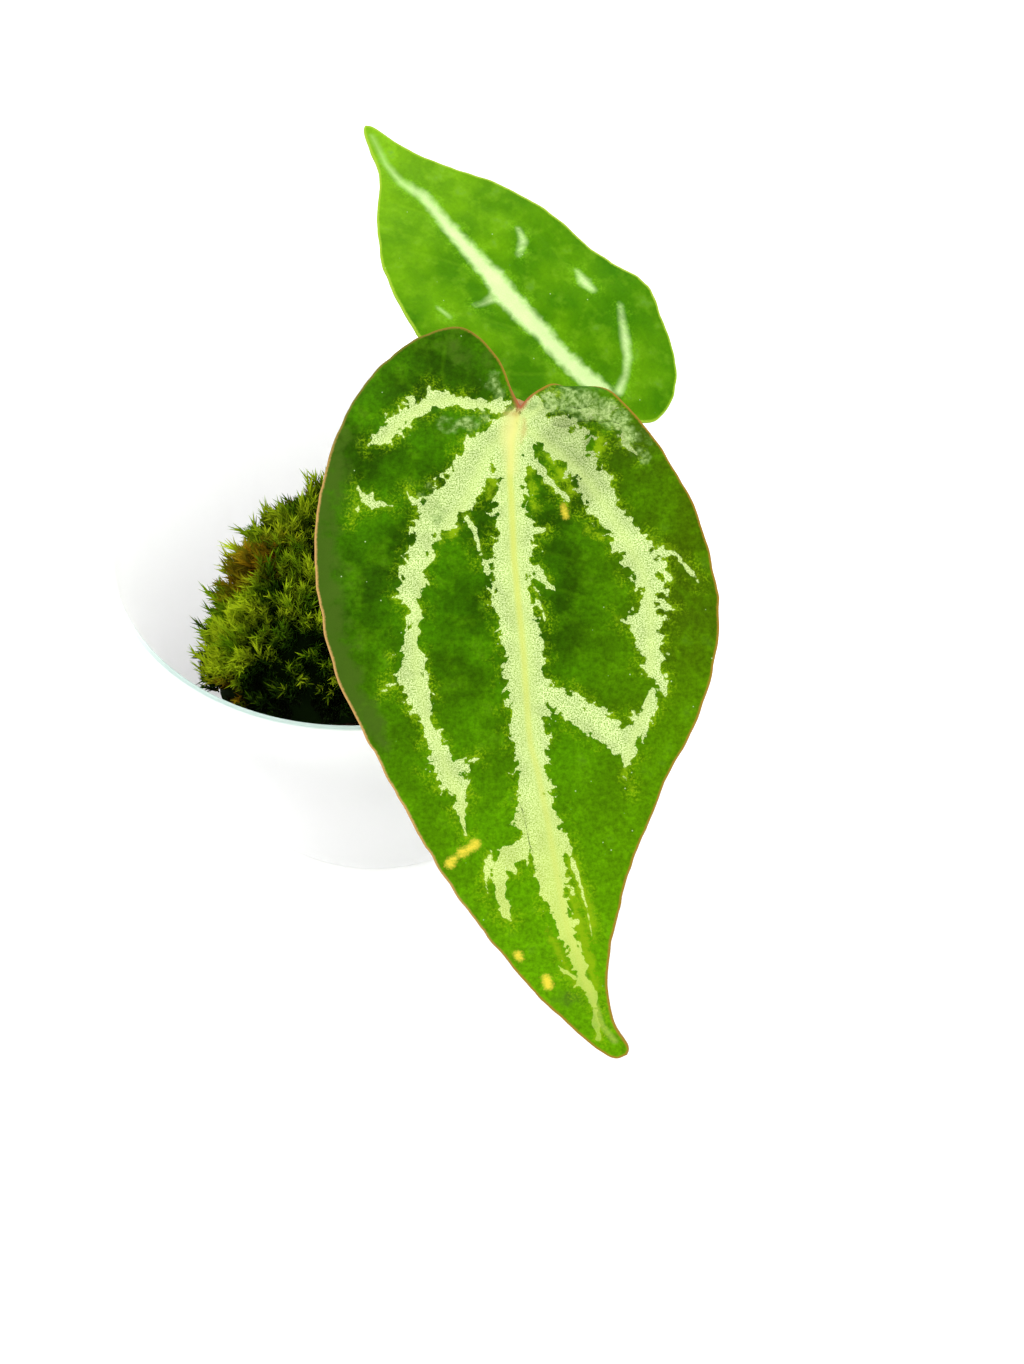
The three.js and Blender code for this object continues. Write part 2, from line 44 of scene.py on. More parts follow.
MM = 0.001
POT_OUTLINE = [
    (0, 0), (12, 0), (13.2, 1.2), (26.6, 1.2), (27.8, 0), (30, 0), (31, 1), (44.5, 59),
    (44.9, 59.2), (45, 59.6), (45, 62.4), (44.8, 62.85), (44.5, 63), (44.2, 62.9), (44.05, 62.5),
    (43.9, 60.4), (43.3, 57.8), (30.1, 3.8), (28.7, 2.4), (0, 2.4),
]
POT_STEPS = 144
POT_FLOOR = 2.4
EDGE_BEVEL = 0.22
DRAIN_HOLES = 8
DRAIN_RADIUS = 3
DRAIN_CIRCLE = 20
# Halfway through the wall: its radius at the foot, and how much it widens for each millimetre up.
WALL_MIDDLE = 30.2
WALL_FLARE = 13.5 / 58


def paint(code):
    """A colour from its sRGB hex value, as the linear numbers that a shader takes."""
    parts = [int(code[i:i + 2], 16) / 255 for i in (1, 3, 5)]
    linear = [p / 12.92 if p <= 0.04045 else ((p + 0.055) / 1.055) ** 2.4 for p in parts]
    return (*linear, 1.0)


def add_node(tree, kind, inputs=None, **settings):
    """Adds a shader node with its settings; an input is a value, a hex value, or what feeds it."""
    node = tree.nodes.new("ShaderNode" + kind)
    for name, value in settings.items():
        setattr(node, name, value)
    for name, value in (inputs or {}).items():
        if isinstance(value, bpy.types.NodeSocket):
            tree.links.new(value, node.inputs[name])
        else:
            node.inputs[name].default_value = paint(value) if isinstance(value, str) else value
    return node


def start_material(name, **sockets):
    """A new material with the plain values of its shader, and its node tree."""
    material = bpy.data.materials.new(name)
    material.use_nodes = True
    tree = material.node_tree
    for socket, value in sockets.items():
        tree.nodes["Principled BSDF"].inputs[socket.replace("_", " ")].default_value = value
    return material, tree


def finish_material(tree, colour, height=None, strength=0, depth=0):
    """Feeds the shader its colour and, where a height is given, a fine relief of this depth."""
    shader = tree.nodes["Principled BSDF"]
    tree.links.new(colour, shader.inputs["Base Color"])
    if height is not None:
        bump = add_node(tree, "Bump", {"Height": height, "Strength": strength, "Distance": depth * MM})
        tree.links.new(bump.outputs["Normal"], shader.inputs["Normal"])


def select_only(*pieces):
    """Selects these pieces and nothing else, with the first one active."""
    bpy.ops.object.select_all(action="DESELECT")
    for piece in pieces:
        piece.select_set(True)
    if pieces:
        bpy.context.view_layer.objects.active = pieces[0]


def apply_modifier(piece, kind, **settings):
    """Adds a modifier with its settings and applies it."""
    bpy.context.view_layer.objects.active = piece
    modifier = piece.modifiers.new(kind.title(), kind)
    for name, value in settings.items():
        setattr(modifier, name, value)
    bpy.ops.object.modifier_apply(modifier=modifier.name)


def hand_over(piece, material, node, angle):
    """Gives a finished piece its material and smooth shading, puts it under the root body, and hides the
    imported part of its node.
    """
    select_only(piece)
    bpy.ops.object.shade_smooth_by_angle(angle=math.radians(angle))
    piece.data.materials.clear()
    piece.data.materials.append(material)
    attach(piece, "root")
    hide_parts(node)


select_only()
bpy.ops.mesh.primitive_circle_add(vertices=len(POT_OUTLINE), radius=0.01)
pot = bpy.context.object
pot.name = pot.data.name = "nursery_pot"
for vertex, (radius, height) in zip(pot.data.vertices, POT_OUTLINE):
    vertex.co = (radius * MM, 0, height * MM)
on_axis = {0, len(POT_OUTLINE) - 1}
for edge in pot.data.edges:
    edge.select = set(edge.vertices) == on_axis
for vertex in pot.data.vertices:
    vertex.select = vertex.index in on_axis
bpy.ops.object.mode_set(mode="EDIT")
bpy.ops.mesh.select_mode(type="EDGE")
bpy.ops.mesh.delete(type="EDGE")
bpy.ops.mesh.select_mode(type="VERT")
bpy.ops.mesh.select_all(action="SELECT")
bpy.ops.mesh.spin(steps=POT_STEPS, angle=2 * math.pi, center=(0, 0, 0), axis=(0, 0, 1))
bpy.ops.mesh.select_all(action="SELECT")
bpy.ops.mesh.remove_doubles(threshold=0.01 * MM)
bpy.ops.mesh.normals_make_consistent(inside=False)
bpy.ops.object.mode_set(mode="OBJECT")
apply_modifier(
    pot, "BEVEL", width=EDGE_BEVEL * MM, segments=2, limit_method="ANGLE", angle_limit=math.radians(28),
)

drills = []
for i in range(DRAIN_HOLES):
    turn = 2 * math.pi * (i + 0.5) / DRAIN_HOLES
    bpy.ops.mesh.primitive_cylinder_add(
        vertices=32, radius=DRAIN_RADIUS * MM, depth=6 * MM,
        location=(DRAIN_CIRCLE * MM * math.cos(turn), DRAIN_CIRCLE * MM * math.sin(turn), POT_FLOOR * MM),
    )
    drills.append(bpy.context.object)
select_only(*reversed(drills))
bpy.ops.object.join()
drill = bpy.context.object
apply_modifier(pot, "BOOLEAN", operation="DIFFERENCE", object=drill, solver="EXACT")
bpy.data.objects.remove(drill)

# Moulded polypropylene: satin, waxy and thin enough for daylight to come through, with the faint orange
# peel of the mould and a trace of dust low on the inner wall. The front of the lip carries a painted
# cool grey-green shade, where only the dark of the pot is behind it.
plastic, tree = start_material(
    "white polypropylene, injection-moulded", Roughness=0.36, IOR=1.49, Subsurface_Weight=1.0,
    Subsurface_Radius=(1.0, 1.0, 1.0), Subsurface_Scale=7 * MM,
)
place = add_node(tree, "TexCoord").outputs["Object"]
cloud, peel, dust = (
    add_node(tree, "TexNoise", {"Vector": place, "Scale": 1 / (size * MM), "Detail": detail}).outputs["Fac"]
    for size, detail in ((14, 3.0), (0.9, 2.0), (1.6, 5.0))
)
axes = add_node(tree, "SeparateXYZ", {"Vector": place}).outputs
level = add_node(tree, "CombineXYZ", {"X": axes["X"], "Y": axes["Y"]}).outputs[0]
radius = add_node(tree, "VectorMath", {0: level}, operation="LENGTH").outputs["Value"]
wall = add_node(tree, "Math", {
    0: axes["Z"], 1: WALL_FLARE, 2: WALL_MIDDLE * MM,
}, operation="MULTIPLY_ADD").outputs[0]
inside = add_node(tree, "Math", {0: radius, 1: wall}, operation="LESS_THAN").outputs[0]
low, specks, top_edge = (
    add_node(tree, "MapRange", {"Value": value, "From Min": start, "From Max": end}).outputs[0]
    for value, start, end in (
        (axes["Z"], 13 * MM, 4 * MM), (dust, 0.5, 0.8), (axes["Z"], 62.2 * MM, 62.7 * MM),
    )
)
front = add_node(tree, "MapRange", {
    "Value": axes["Y"], "From Min": -6 * MM, "From Max": -34 * MM,
}, interpolation_type="SMOOTHSTEP").outputs[0]
dusty = add_node(tree, "Math", {0: low, 1: inside}, operation="MULTIPLY").outputs[0]
grime = add_node(tree, "Math", {0: dusty, 1: specks}, operation="MULTIPLY").outputs[0]
# Painted shade: the top of the lip is tinted cool grey-green towards the front.
painted_lip_shade = add_node(tree, "Math", {0: top_edge, 1: front}, operation="MULTIPLY").outputs[0]
colour = paint("#fcfdfb")
for amount, over in ((cloud, "#ffffff"), (grime, "#7a6a50"), (painted_lip_shade, "#94aaa4")):
    colour = add_node(tree, "Mix", {0: amount, 6: colour, 7: over}, data_type="RGBA").outputs[2]
finish_material(tree, colour, peel, 0.12, 0.05)
hand_over(pot, plastic, "pot", 30)


# Root ball
# The plug of potting mix, bark, coir and leaf mould held together by the roots. It kept the shape
# of a narrower cell, so it stands clear of the pot's wall, a little towards the front.

PLUG_OUTLINE = [(0, 2.7), (21.5, 2.7), (23, 4.2), (22.9, 24), (22.8, 42.6), (20.8, 44), (0, 44)]
PLUG_HEIGHT = 44
PLUG_FOOT = (0, -3)
PLUG_TOP = (0, -7)


def flat_sheet(name, cells_u, cells_v):
    """A flat grid that is to be bent, and the share of the way along each side of every vertex."""
    select_only()
    bpy.ops.mesh.primitive_grid_add(x_subdivisions=cells_u, y_subdivisions=cells_v, size=1)
    piece = bpy.context.object
    piece.name = piece.data.name = name
    shares = get_places(piece) * MM + 0.5
    return piece, np.round(shares[:, 0] * cells_u) / cells_u, np.round(shares[:, 1] * cells_v) / cells_v


def set_places(piece, places):
    """Puts the vertices of a piece at these places, in millimetres."""
    piece.data.vertices.foreach_set("co", (np.asarray(places) * MM).ravel())
    piece.data.update()


def get_places(piece):
    """The places of the vertices of a piece, in millimetres."""
    places = np.empty(len(piece.data.vertices) * 3)
    piece.data.vertices.foreach_get("co", places)
    return places.reshape(-1, 3) / MM


def close_up(piece, fill=False):
    """Merges doubled vertices, closes open ends if asked, and turns the faces outwards."""
    select_only(piece)
    bpy.ops.object.mode_set(mode="EDIT")
    bpy.ops.mesh.select_mode(type="VERT")
    bpy.ops.mesh.select_all(action="SELECT")
    bpy.ops.mesh.remove_doubles(threshold=0.004 * MM)
    if fill:
        bpy.ops.mesh.select_all(action="DESELECT")
        bpy.ops.mesh.select_non_manifold()
        bpy.ops.mesh.edge_face_add()
        bpy.ops.mesh.select_all(action="SELECT")
    bpy.ops.mesh.normals_make_consistent(inside=False)
    bpy.ops.object.mode_set(mode="OBJECT")


def soft_noise(places, size, seed):
    """Smooth random heights between -1 and 1, with lumps of about the given size."""
    table = np.random.RandomState(seed).uniform(-1, 1, (32, 32, 32))
    scaled = np.asarray(places) / size + 100
    cell = np.floor(scaled).astype(int)
    part = scaled - cell
    part = part * part * (3 - 2 * part)
    total = np.zeros(len(scaled))
    for corner in range(8):
        step = np.array([corner & 1, (corner >> 1) & 1, corner >> 2])
        weight = np.prod(np.where(step == 1, part, 1 - part), axis=1)
        at = (cell + step) % 32
        total += weight * table[at[:, 0], at[:, 1], at[:, 2]]
    return total


def along_outline(outline, shares):
    """Points of an outline at shares of its length."""
    outline = np.array(outline, float)
    reach = np.concatenate([[0], np.cumsum(np.linalg.norm(np.diff(outline, axis=0), axis=1))])
    return np.stack([np.interp(shares * reach[-1], reach, column) for column in outline.T], axis=1)


root_ball, around, up = flat_sheet("potting_mix_plug", 180, 110)
outline = along_outline(PLUG_OUTLINE, up)
turn = 2 * math.pi * around
plug = np.stack([outline[:, 0] * np.cos(turn), outline[:, 0] * np.sin(turn), outline[:, 1]], axis=1)
crumbs = 0.5 * soft_noise(plug, 4.5, 1) + 0.35 * soft_noise(plug, 1.9, 2) + 0.2 * soft_noise(plug, 0.9, 3)
out = plug * [1, 1, 0] / np.maximum(np.linalg.norm(plug[:, :2], axis=1), 1e-6)[:, None]
side = np.clip((outline[:, 0] - 15) / 6, 0, 1)
lift = np.where(outline[:, 1] > PLUG_HEIGHT - 1, 1.0, 0.0)
plug += (out * side[:, None] + np.outer(lift, [0, 0, 0.6])) * (crumbs - 0.4)[:, None]
lean = plug[:, 2:3] / PLUG_HEIGHT
plug[:, :2] += np.array(PLUG_FOOT) + (np.array(PLUG_TOP) - PLUG_FOOT) * lean
set_places(root_ball, plug)
close_up(root_ball)

# Moist potting mix: matt and dark, in chips of bark about 3 mm long with fine brown coir between.
mix, tree = start_material("potting mix of bark and coir, moist", Roughness=0.92)
place = add_node(tree, "TexCoord").outputs["Object"]
wander = add_node(tree, "TexNoise", {"Vector": place, "Scale": 1 / (2 * MM), "Detail": 2.0})
warp = add_node(tree, "VectorMath", {
    0: wander.outputs["Color"], 1: (1.2 * MM,) * 3, 2: place,
}, operation="MULTIPLY_ADD").outputs[0]
chips = add_node(tree, "TexVoronoi", {"Vector": warp, "Scale": 1 / (2.6 * MM)}).outputs
chip_tone = add_node(tree, "SeparateColor", {"Color": chips["Color"]}).outputs[0]
fine = add_node(tree, "TexNoise", {"Vector": place, "Scale": 1 / (0.5 * MM), "Detail": 4.0}).outputs["Fac"]
bark = add_node(tree, "Mix", {0: chip_tone, 6: "#24170c", 7: "#5b3f24"}, data_type="RGBA").outputs[2]
colour = add_node(tree, "Mix", {0: fine, 6: "#1a1008", 7: bark}, data_type="RGBA").outputs[2]
relief = add_node(tree, "Math", {0: chips["Distance"], 1: fine}, operation="ADD").outputs[0]
finish_material(tree, colour, relief, 0.8, 0.4)
hand_over(root_ball, mix, "root_ball", 60)


# Moss
# A cushion of living moss that covers the plug: a dark mound of old growth, whose near-black colour also
# paints the shade under the shoots, and tufts of fine leafy shoots, yellow-green at their tips, with a few
# brown ones among them.

MOSS_MIDDLE = (0, -6)
MOSS_EDGE = [
    (27, -6), (24, 7), (15, 16), (3, 19), (-9, 15.5), (-16.8, 7.5), (-21.4, -2.5), (-24.2, -13),
    (-24.9, -25.8), (-18, -32), (-3, -31.8), (10, -31), (21, -23),
]
MOSS_FOOT = 45.8
MOSS_PEAK = 64
TUFTS = 300
TUFT_RADIUS = 2
TUFT_LENGTH = 4.2
TUFT_VARIES = 3.5
TALL_TUFT = 1.8
SHOOTS_IN_TUFT = 28
LEADERS = 0.12
LEAFLETS = 10
# Brown and tan patches, as [x, y, radius] seen from above.
MOSS_BROWN = [(-18, -9.5, 4.4), (-22.4, -29.6, 2.4), (-9, 11.5, 3), (14, 12, 4), (6, -29, 3)]
# The pot's inner wall: its radius at the foot, how much it widens for each millimetre up, and the
# height where the lip begins and it no longer widens.
WALL_INSIDE = 28.7
INSIDE_FLARE = 0.2444
LIP_FOOT = 57
RIM_TOP = 62
CROWN_CENTRE = (12, -3)
CROWN_CLEARANCE = 4.6


def curve_points(points, shares, closed=False, by_length=False):
    """Points of a smooth curve through the given ones, at shares of its spans or of its length."""
    points = np.array(points, float)
    before, after = 2 * points[:1] - points[1:2], 2 * points[-1:] - points[-2:-1]
    if closed:
        before, after = points[-1:], points[:2]
    guides = np.vstack([before, points, after])
    spans = len(points) if closed else len(points) - 1

    def at(share):
        place = np.clip(share, 0, 1) * spans
        index = np.minimum(place.astype(int), spans - 1)
        t = (place - index)[:, None]
        p0, p1, p2, p3 = (guides[index + k] for k in range(4))
        d0, d1, d2 = (
            np.sqrt(np.linalg.norm(b - a, axis=1))[:, None] for a, b in ((p0, p1), (p1, p2), (p2, p3))
        )
        t1 = ((p1 - p0) / d0 - (p2 - p0) / (d0 + d1) + (p2 - p1) / d1) * d1
        t2 = ((p2 - p1) / d1 - (p3 - p1) / (d1 + d2) + (p3 - p2) / d2) * d1
        return p1 + t1 * t + (3 * (p2 - p1) - 2 * t1 - t2) * t ** 2 + (2 * (p1 - p2) + t1 + t2) * t ** 3

    shares = np.atleast_1d(np.asarray(shares, float))
    if not by_length:
        return at(shares)
    fine = np.linspace(0, 1, spans * 40 + 1)
    reach = np.concatenate([[0], np.cumsum(np.linalg.norm(np.diff(at(fine), axis=0), axis=1))])
    return at(np.interp(shares * reach[-1], reach, fine))


def moss_place(round_share, out):
    """Points of the mound at shares of the way round its edge and of the way out to it."""
    edge = curve_points(MOSS_EDGE, np.mod(round_share, 1), closed=True)
    flat = np.array(MOSS_MIDDLE) + (edge - MOSS_MIDDLE) * out[:, None]
    height = MOSS_FOOT + (MOSS_PEAK - MOSS_FOOT) * (1 - out ** 4)
    x, y, z = flat[:, 0] / 11, flat[:, 1] / 11, height / 11
    waves = np.sin(5.1 * x + 1.3 * z) + np.sin(4.3 * y - 2.7 * x + 1) + np.sin(6.1 * z + 3.7 * y + 2)
    return np.column_stack([flat, height + 0.4 * waves * (1 - out ** 6)])


def ease(value, low, high):
    """0 below low, 1 above high, and a smooth rise between."""
    part = np.clip((value - low) / (high - low), 0, 1)
    return part * part * (3 - 2 * part)


def unit(vectors):
    """The vectors at length 1."""
    return vectors / np.maximum(np.linalg.norm(vectors, axis=-1, keepdims=True), 1e-9)


def keep_number(piece, name, values):
    """Stores one number for each vertex, for the material to read."""
    numbers = piece.data.attributes.new(name, "FLOAT", "POINT")
    numbers.data.foreach_set("value", np.asarray(values, np.float32))


def seeded_numbers(seed):
    """Random numbers between 0 and 1, the same on every run."""
    state = seed
    while True:
        state = (state * 1664525 + 1013904223) % 4294967296
        yield state / 4294967296


# The mound turns under at its edge, where it lies on the plug.
mound, around, out = flat_sheet("moss_undergrowth", 120, 44)
base = moss_place(around, np.minimum(out / 0.9, 1))
under = np.clip((out - 0.9) / 0.1, 0, 1)
base[:, :2] += (np.array(MOSS_MIDDLE) - base[:, :2]) * under[:, None]
base[:, 2] -= np.where(under > 0, 1.2, 0)
base[:, 2] += np.where(under > 0, 0, 0.5 * soft_noise(base, 1.6, 4))
set_places(mound, base)
close_up(mound)

# One shoot, a stem with needle-like leaflets all round it, 1 mm tall as modelled.
select_only()
shoot_parts = []
for i in range(LEAFLETS):
    height = 0.08 + 0.74 * (i / (LEAFLETS - 1)) ** 0.9
    reach = 0.58 * (1 - 0.42 * height)
    bpy.ops.mesh.primitive_cone_add(
        vertices=3, radius1=0.056 * MM, radius2=0, depth=reach * MM, end_fill_type="NGON",
        location=(0, 0, reach * MM / 2),
    )
    leaflet = bpy.context.object
    bpy.ops.object.transform_apply(location=True, rotation=False, scale=False)
    leaflet.rotation_euler = (0, math.radians(50 - 26 * height), 2.4 * i)
    leaflet.location = (0, 0, height * MM)
    bpy.ops.object.transform_apply(location=True, rotation=True, scale=False)
    shoot_parts.append(leaflet)
bpy.ops.mesh.primitive_cone_add(
    vertices=3, radius1=0.045 * MM, radius2=0, depth=1.12 * MM, end_fill_type="NGON",
    location=(0, 0, 0.56 * MM),
)
bpy.ops.object.transform_apply(location=True, rotation=False, scale=False)
shoot_parts.append(bpy.context.object)
select_only(*reversed(shoot_parts))
bpy.ops.object.join()
shoot = bpy.context.object
bpy.ops.object.mode_set(mode="EDIT")
bpy.ops.mesh.select_all(action="SELECT")
bpy.ops.mesh.quads_convert_to_tris()
bpy.ops.object.mode_set(mode="OBJECT")
shoot_places = get_places(shoot)
shoot_faces = np.array([list(face.vertices) for face in shoot.data.polygons])
bpy.data.objects.remove(shoot)

# Each tuft has its place, direction and length on the mound, in an even spiral. Some on the left
# stand taller than the rest.
numbers = seeded_numbers(5)
tuft_feet, tuft_directions, tuft_lengths = [], [], []
for i in range(TUFTS):
    round_share = np.array([i * (3 - math.sqrt(5)) / 2 + 0.03 * next(numbers)])
    out = np.array([((i + 0.5) / TUFTS) ** 0.4])
    foot = moss_place(round_share, out)[0]
    further_out = moss_place(round_share, np.minimum(1, out + 0.02))[0]
    outwards = further_out - moss_place(round_share, out - 0.02)[0]
    sideways = moss_place(round_share + 0.01, out)[0] - foot
    direction = unit(np.cross(outwards, sideways)) + [0, 0, 0.55]
    direction += [0.45 * (2 * next(numbers) - 1), 0.45 * (2 * next(numbers) - 1), 0]
    taller = TALL_TUFT * ease(-foot[0], 12, 20) * (next(numbers) > 0.45)
    tuft_lengths.append(TUFT_LENGTH + TUFT_VARIES * next(numbers) + taller)
    tuft_feet.append(foot)
    tuft_directions.append(unit(direction))
tuft_feet, tuft_directions, tuft_lengths = (np.array(a) for a in (tuft_feet, tuft_directions, tuft_lengths))

# Old growth and the shoots' feet are nearly black, a colour that also paints the shade deep in the cushion;
# the shoots are olive and end in yellow-green, and dead ones are brown.
moss_material, tree = start_material("cushion moss, living", Roughness=0.8, Specular_IOR_Level=0.04)
tip, tone, brown = (
    add_node(tree, "Attribute", attribute_name=name).outputs["Fac"] for name in ("tip", "tone", "brown")
)
place = add_node(tree, "TexCoord").outputs["Object"]
patches = add_node(tree, "TexNoise", {"Vector": place, "Scale": 1 / (6 * MM), "Detail": 3.0}).outputs["Fac"]
ripening, ripe, stem = (
    add_node(tree, "MapRange", {"Value": value, "From Min": start, "From Max": end}).outputs[0]
    for value, start, end in ((patches, 0.38, 0.62), (tip, 0.45, 1.2), (tip, -0.1, 0.5))
)
olive, fresh, dead = (
    add_node(tree, "Mix", {0: amount, 6: under, 7: over}, data_type="RGBA").outputs[2]
    for amount, under, over in (
        (tone, "#0e2201", "#2c4c02"), (ripening, "#5a8202", "#b8cc1c"), (tone, "#3e3402", "#a0700a"),
    )
)
green = add_node(tree, "Mix", {0: ripe, 6: olive, 7: fresh}, data_type="RGBA").outputs[2]
colour = paint("#0a1201")
for amount, over in ((stem, green), (brown, dead)):
    colour = add_node(tree, "Mix", {0: amount, 6: colour, 7: over}, data_type="RGBA").outputs[2]
finish_material(tree, colour)

# The shoots stand in three pieces, every third tuft in each. Leaders stand out of their tufts, a
# shoot leans away from its tuft's middle, and none goes through the pot's wall or the crown.
draw = np.random.RandomState(17)
for part in range(3):
    of_tuft = np.repeat(np.arange(part, TUFTS, 3), SHOOTS_IN_TUFT)
    count = len(of_tuft)
    direction = tuft_directions[of_tuft]
    side_a = unit(np.cross(direction, [0.3, 1, 0.2]))
    side_b = np.cross(direction, side_a)
    turn = draw.uniform(0, 2 * math.pi, count)
    spread = np.sqrt(draw.uniform(0, 1, count))
    offset = side_a * np.cos(turn)[:, None] + side_b * np.sin(turn)[:, None]
    offset *= TUFT_RADIUS * spread[:, None]
    climb = draw.uniform(-0.1, 0.42, count) * (1 - 0.25 * spread)
    reach = tuft_lengths[of_tuft]
    foot = tuft_feet[of_tuft] + offset + direction * (climb * reach)[:, None]
    leader = draw.uniform(0, 1, count) < LEADERS
    height = reach * draw.uniform(0.5, 0.8, count) * np.where(leader, 1.3, 1 - 0.35 * spread)
    lean = unit(direction - 0.12 * offset + draw.uniform(-0.22, 0.22, (count, 3)))
    clear = np.linalg.norm(foot[:, :2] - CROWN_CENTRE, axis=1) > CROWN_CLEARANCE
    foot, height, lean, climb, leader = (a[clear] for a in (foot, height, lean, climb, leader))
    count = len(foot)
    side_a = unit(np.cross(lean, draw.uniform(-1, 1, (count, 3))))
    side_b = np.cross(lean, side_a)
    bend = draw.uniform(-0.25, 0.25, count) * height
    x, y, z = shoot_places.T
    width = np.minimum(height, 4)[:, None]
    places = (
        foot[:, None] + side_a[:, None] * (x * width + bend[:, None] * z ** 2)[..., None]
        + side_b[:, None] * (y * width)[..., None] + lean[:, None] * (z * height[:, None])[..., None]
    )
    wall = WALL_INSIDE + INSIDE_FLARE * np.minimum(places[..., 2], LIP_FOOT)
    kept_in = np.minimum(1, wall / np.linalg.norm(places[..., :2], axis=-1))
    places[..., :2] *= np.where(places[..., 2] < RIM_TOP, kept_in, 1)[..., None]
    faces = (shoot_faces[None] + (np.arange(count) * len(shoot_places))[:, None, None]).reshape(-1, 3)
    mesh = bpy.data.meshes.new(f"moss_shoots_{part + 1}")
    mesh.from_pydata((places.reshape(-1, 3) * MM).tolist(), [], faces.tolist())
    shoots = bpy.data.objects.new(mesh.name, mesh)
    bpy.context.scene.collection.objects.link(shoots)

    # Tips are yellow-green. Painted light makes shoots lighter high up, on the left, on leaders and where
    # they climb higher in their tuft, and painted shade darkens them low at the front.
    high = 0.6 * ease(places[..., 2], 50, 68)
    in_shade = 0.16 * ease(-places[..., 1], 18, 30) * (1 - ease(places[..., 2], 52, 60))
    outer = 1.15 * ease(-places[..., 0], 16, 25) * ease(places[..., 2], 49, 57)
    freshness_and_painted_light = 0.42 * z + 0.75 * climb[:, None] + high + outer
    freshness_and_painted_light += 0.35 * leader[:, None] * z - 0.4 - in_shade
    keep_number(shoots, "tip", freshness_and_painted_light.ravel())
    in_patch = np.max([
        1.3 - np.hypot(foot[:, 0] - x, foot[:, 1] - y) / size for x, y, size in MOSS_BROWN
    ], axis=0)
    browning = np.clip(1.4 * (draw.uniform(-0.25, 0.25, count) + in_patch), 0, 0.85)
    keep_number(shoots, "tone", np.repeat(draw.uniform(0, 1, count), len(shoot_places)))
    keep_number(shoots, "brown", np.repeat(browning, len(shoot_places)))
    hand_over(shoots, moss_material, "moss", 60)
for name, value in (("tip", 0.2), ("tone", 0), ("brown", 0)):
    keep_number(mound, name, np.full(len(mound.data.vertices), value))
hand_over(mound, moss_material, "moss", 60)


# Crown and roots
# The short stem that carries the leaves, ringed by the scars of older ones, and the thick pale
# roots that it sends down into the plug. Stem and roots grew as one.

CROWN_OUTLINE = [
    (0, 38), (2.6, 38.6), (4, 42), (3.6, 45.5), (4.4, 48.5), (3.7, 52.5), (4.5, 56), (3.8, 59.5),
    (4.3, 62.5), (3, 66), (0, 67.2),
]
ROOTS = 7
ROOT_RADIUS = 1.3
ROOT_SPREAD = 17


def roll_tube(name, points, radius_at, sides, steps, groove=0.0):
    """A tube along a smooth curve through the points; radius_at gives its radius at each share."""
    piece, around, share = flat_sheet(name, sides, steps)
    rings = np.linspace(0, 1, steps + 1)
    centres = curve_points(points, rings, by_length=True)
    tangents = unit(np.gradient(centres, axis=0))
    side_a = [unit(np.cross(tangents[0], [0.1, 0.2, 1]))]
    for tangent in tangents[1:]:
        side_a.append(unit(side_a[-1] - tangent * np.dot(side_a[-1], tangent)))
    side_a = np.array(side_a)
    side_b = np.cross(tangents, side_a)
    row = np.round(share * steps).astype(int)
    length = np.linalg.norm(np.diff(centres, axis=0), axis=1).sum()
    turn = 2 * math.pi * around
    radius = radius_at(share, length) * (1 - groove * np.exp(-((around - 0.5) / 0.07) ** 2))
    places = centres[row] + side_a[row] * (radius * np.cos(turn))[:, None]
    places += side_b[row] * (radius * np.sin(turn))[:, None]
    set_places(piece, places)
    return piece, around, share, length


crown, around, up = flat_sheet("crown_stem", 48, 90)
outline = along_outline(CROWN_OUTLINE, up)
turn = 2 * math.pi * around
radius = outline[:, 0] * (1 + 0.05 * np.sin(3 * turn + outline[:, 1]) + 0.02 * np.sin(outline[:, 1] * 6))
stem_places = np.column_stack([radius * np.cos(turn), radius * np.sin(turn), outline[:, 1]])
stem_places[:, :2] += CROWN_CENTRE
stem_places[:, :2] += 0.1 * soft_noise(stem_places, 0.8, 8)[:, None]
set_places(crown, stem_places)
close_up(crown)
numbers = seeded_numbers(11)
crown_parts = [crown]
for i in range(ROOTS):
    start_turn = 2 * math.pi * (i + 0.3 * next(numbers)) / ROOTS
    start = 47 - 5 * next(numbers)
    foot = 8 + 6 * next(numbers)
    path = []
    for share, height in ((0, start + 1), (0.3, start - 4), (0.65, 0.6 * start), (0.9, 20), (1, foot)):
        swing = start_turn + 0.5 * math.sin(6 * share + i)
        middle = np.array(CROWN_CENTRE) + (np.array(PLUG_FOOT) - CROWN_CENTRE) * share
        reach = ROOT_SPREAD * share
        path.append((middle[0] + reach * math.cos(swing), middle[1] + reach * math.sin(swing), height))
    root, *_ = roll_tube(f"root_{i}", path, lambda share, length: ROOT_RADIUS * (1 - 0.45 * share), 14, 40)
    close_up(root, fill=True)
    crown_parts.append(root)
select_only(*crown_parts)
bpy.ops.object.join()

# Living stem: olive green where it sees light, tan at the scars and pale tan down at the roots.
stem_material, tree = start_material("aroid stem and roots, living", Roughness=0.62)
place = add_node(tree, "TexCoord").outputs["Object"]
height = add_node(tree, "SeparateXYZ", {"Vector": place}).outputs["Z"]
bands = add_node(tree, "TexNoise", {"Vector": place, "Scale": 1 / (2.2 * MM), "Detail": 4.0}).outputs["Fac"]
skin = add_node(tree, "Mix", {0: bands, 6: "#5f6a22", 7: "#8f8a4a"}, data_type="RGBA").outputs[2]
in_light = add_node(tree, "MapRange", {"Value": height, "From Min": 46 * MM, "From Max": 60 * MM}).outputs[0]
colour = paint("#8a6a44")
for amount, over in ((bands, "#cbb48a"), (in_light, skin)):
    colour = add_node(tree, "Mix", {0: amount, 6: colour, 7: over}, data_type="RGBA").outputs[2]
finish_material(tree, colour, bands, 0.5, 0.2)
hand_over(crown, stem_material, "crown", 50)


# Cataphyll
# The dry sheath that wrapped the young front leaf: a pointed half-tube of papery tissue with
# lengthwise fibres, left standing round the foot of the stalk.

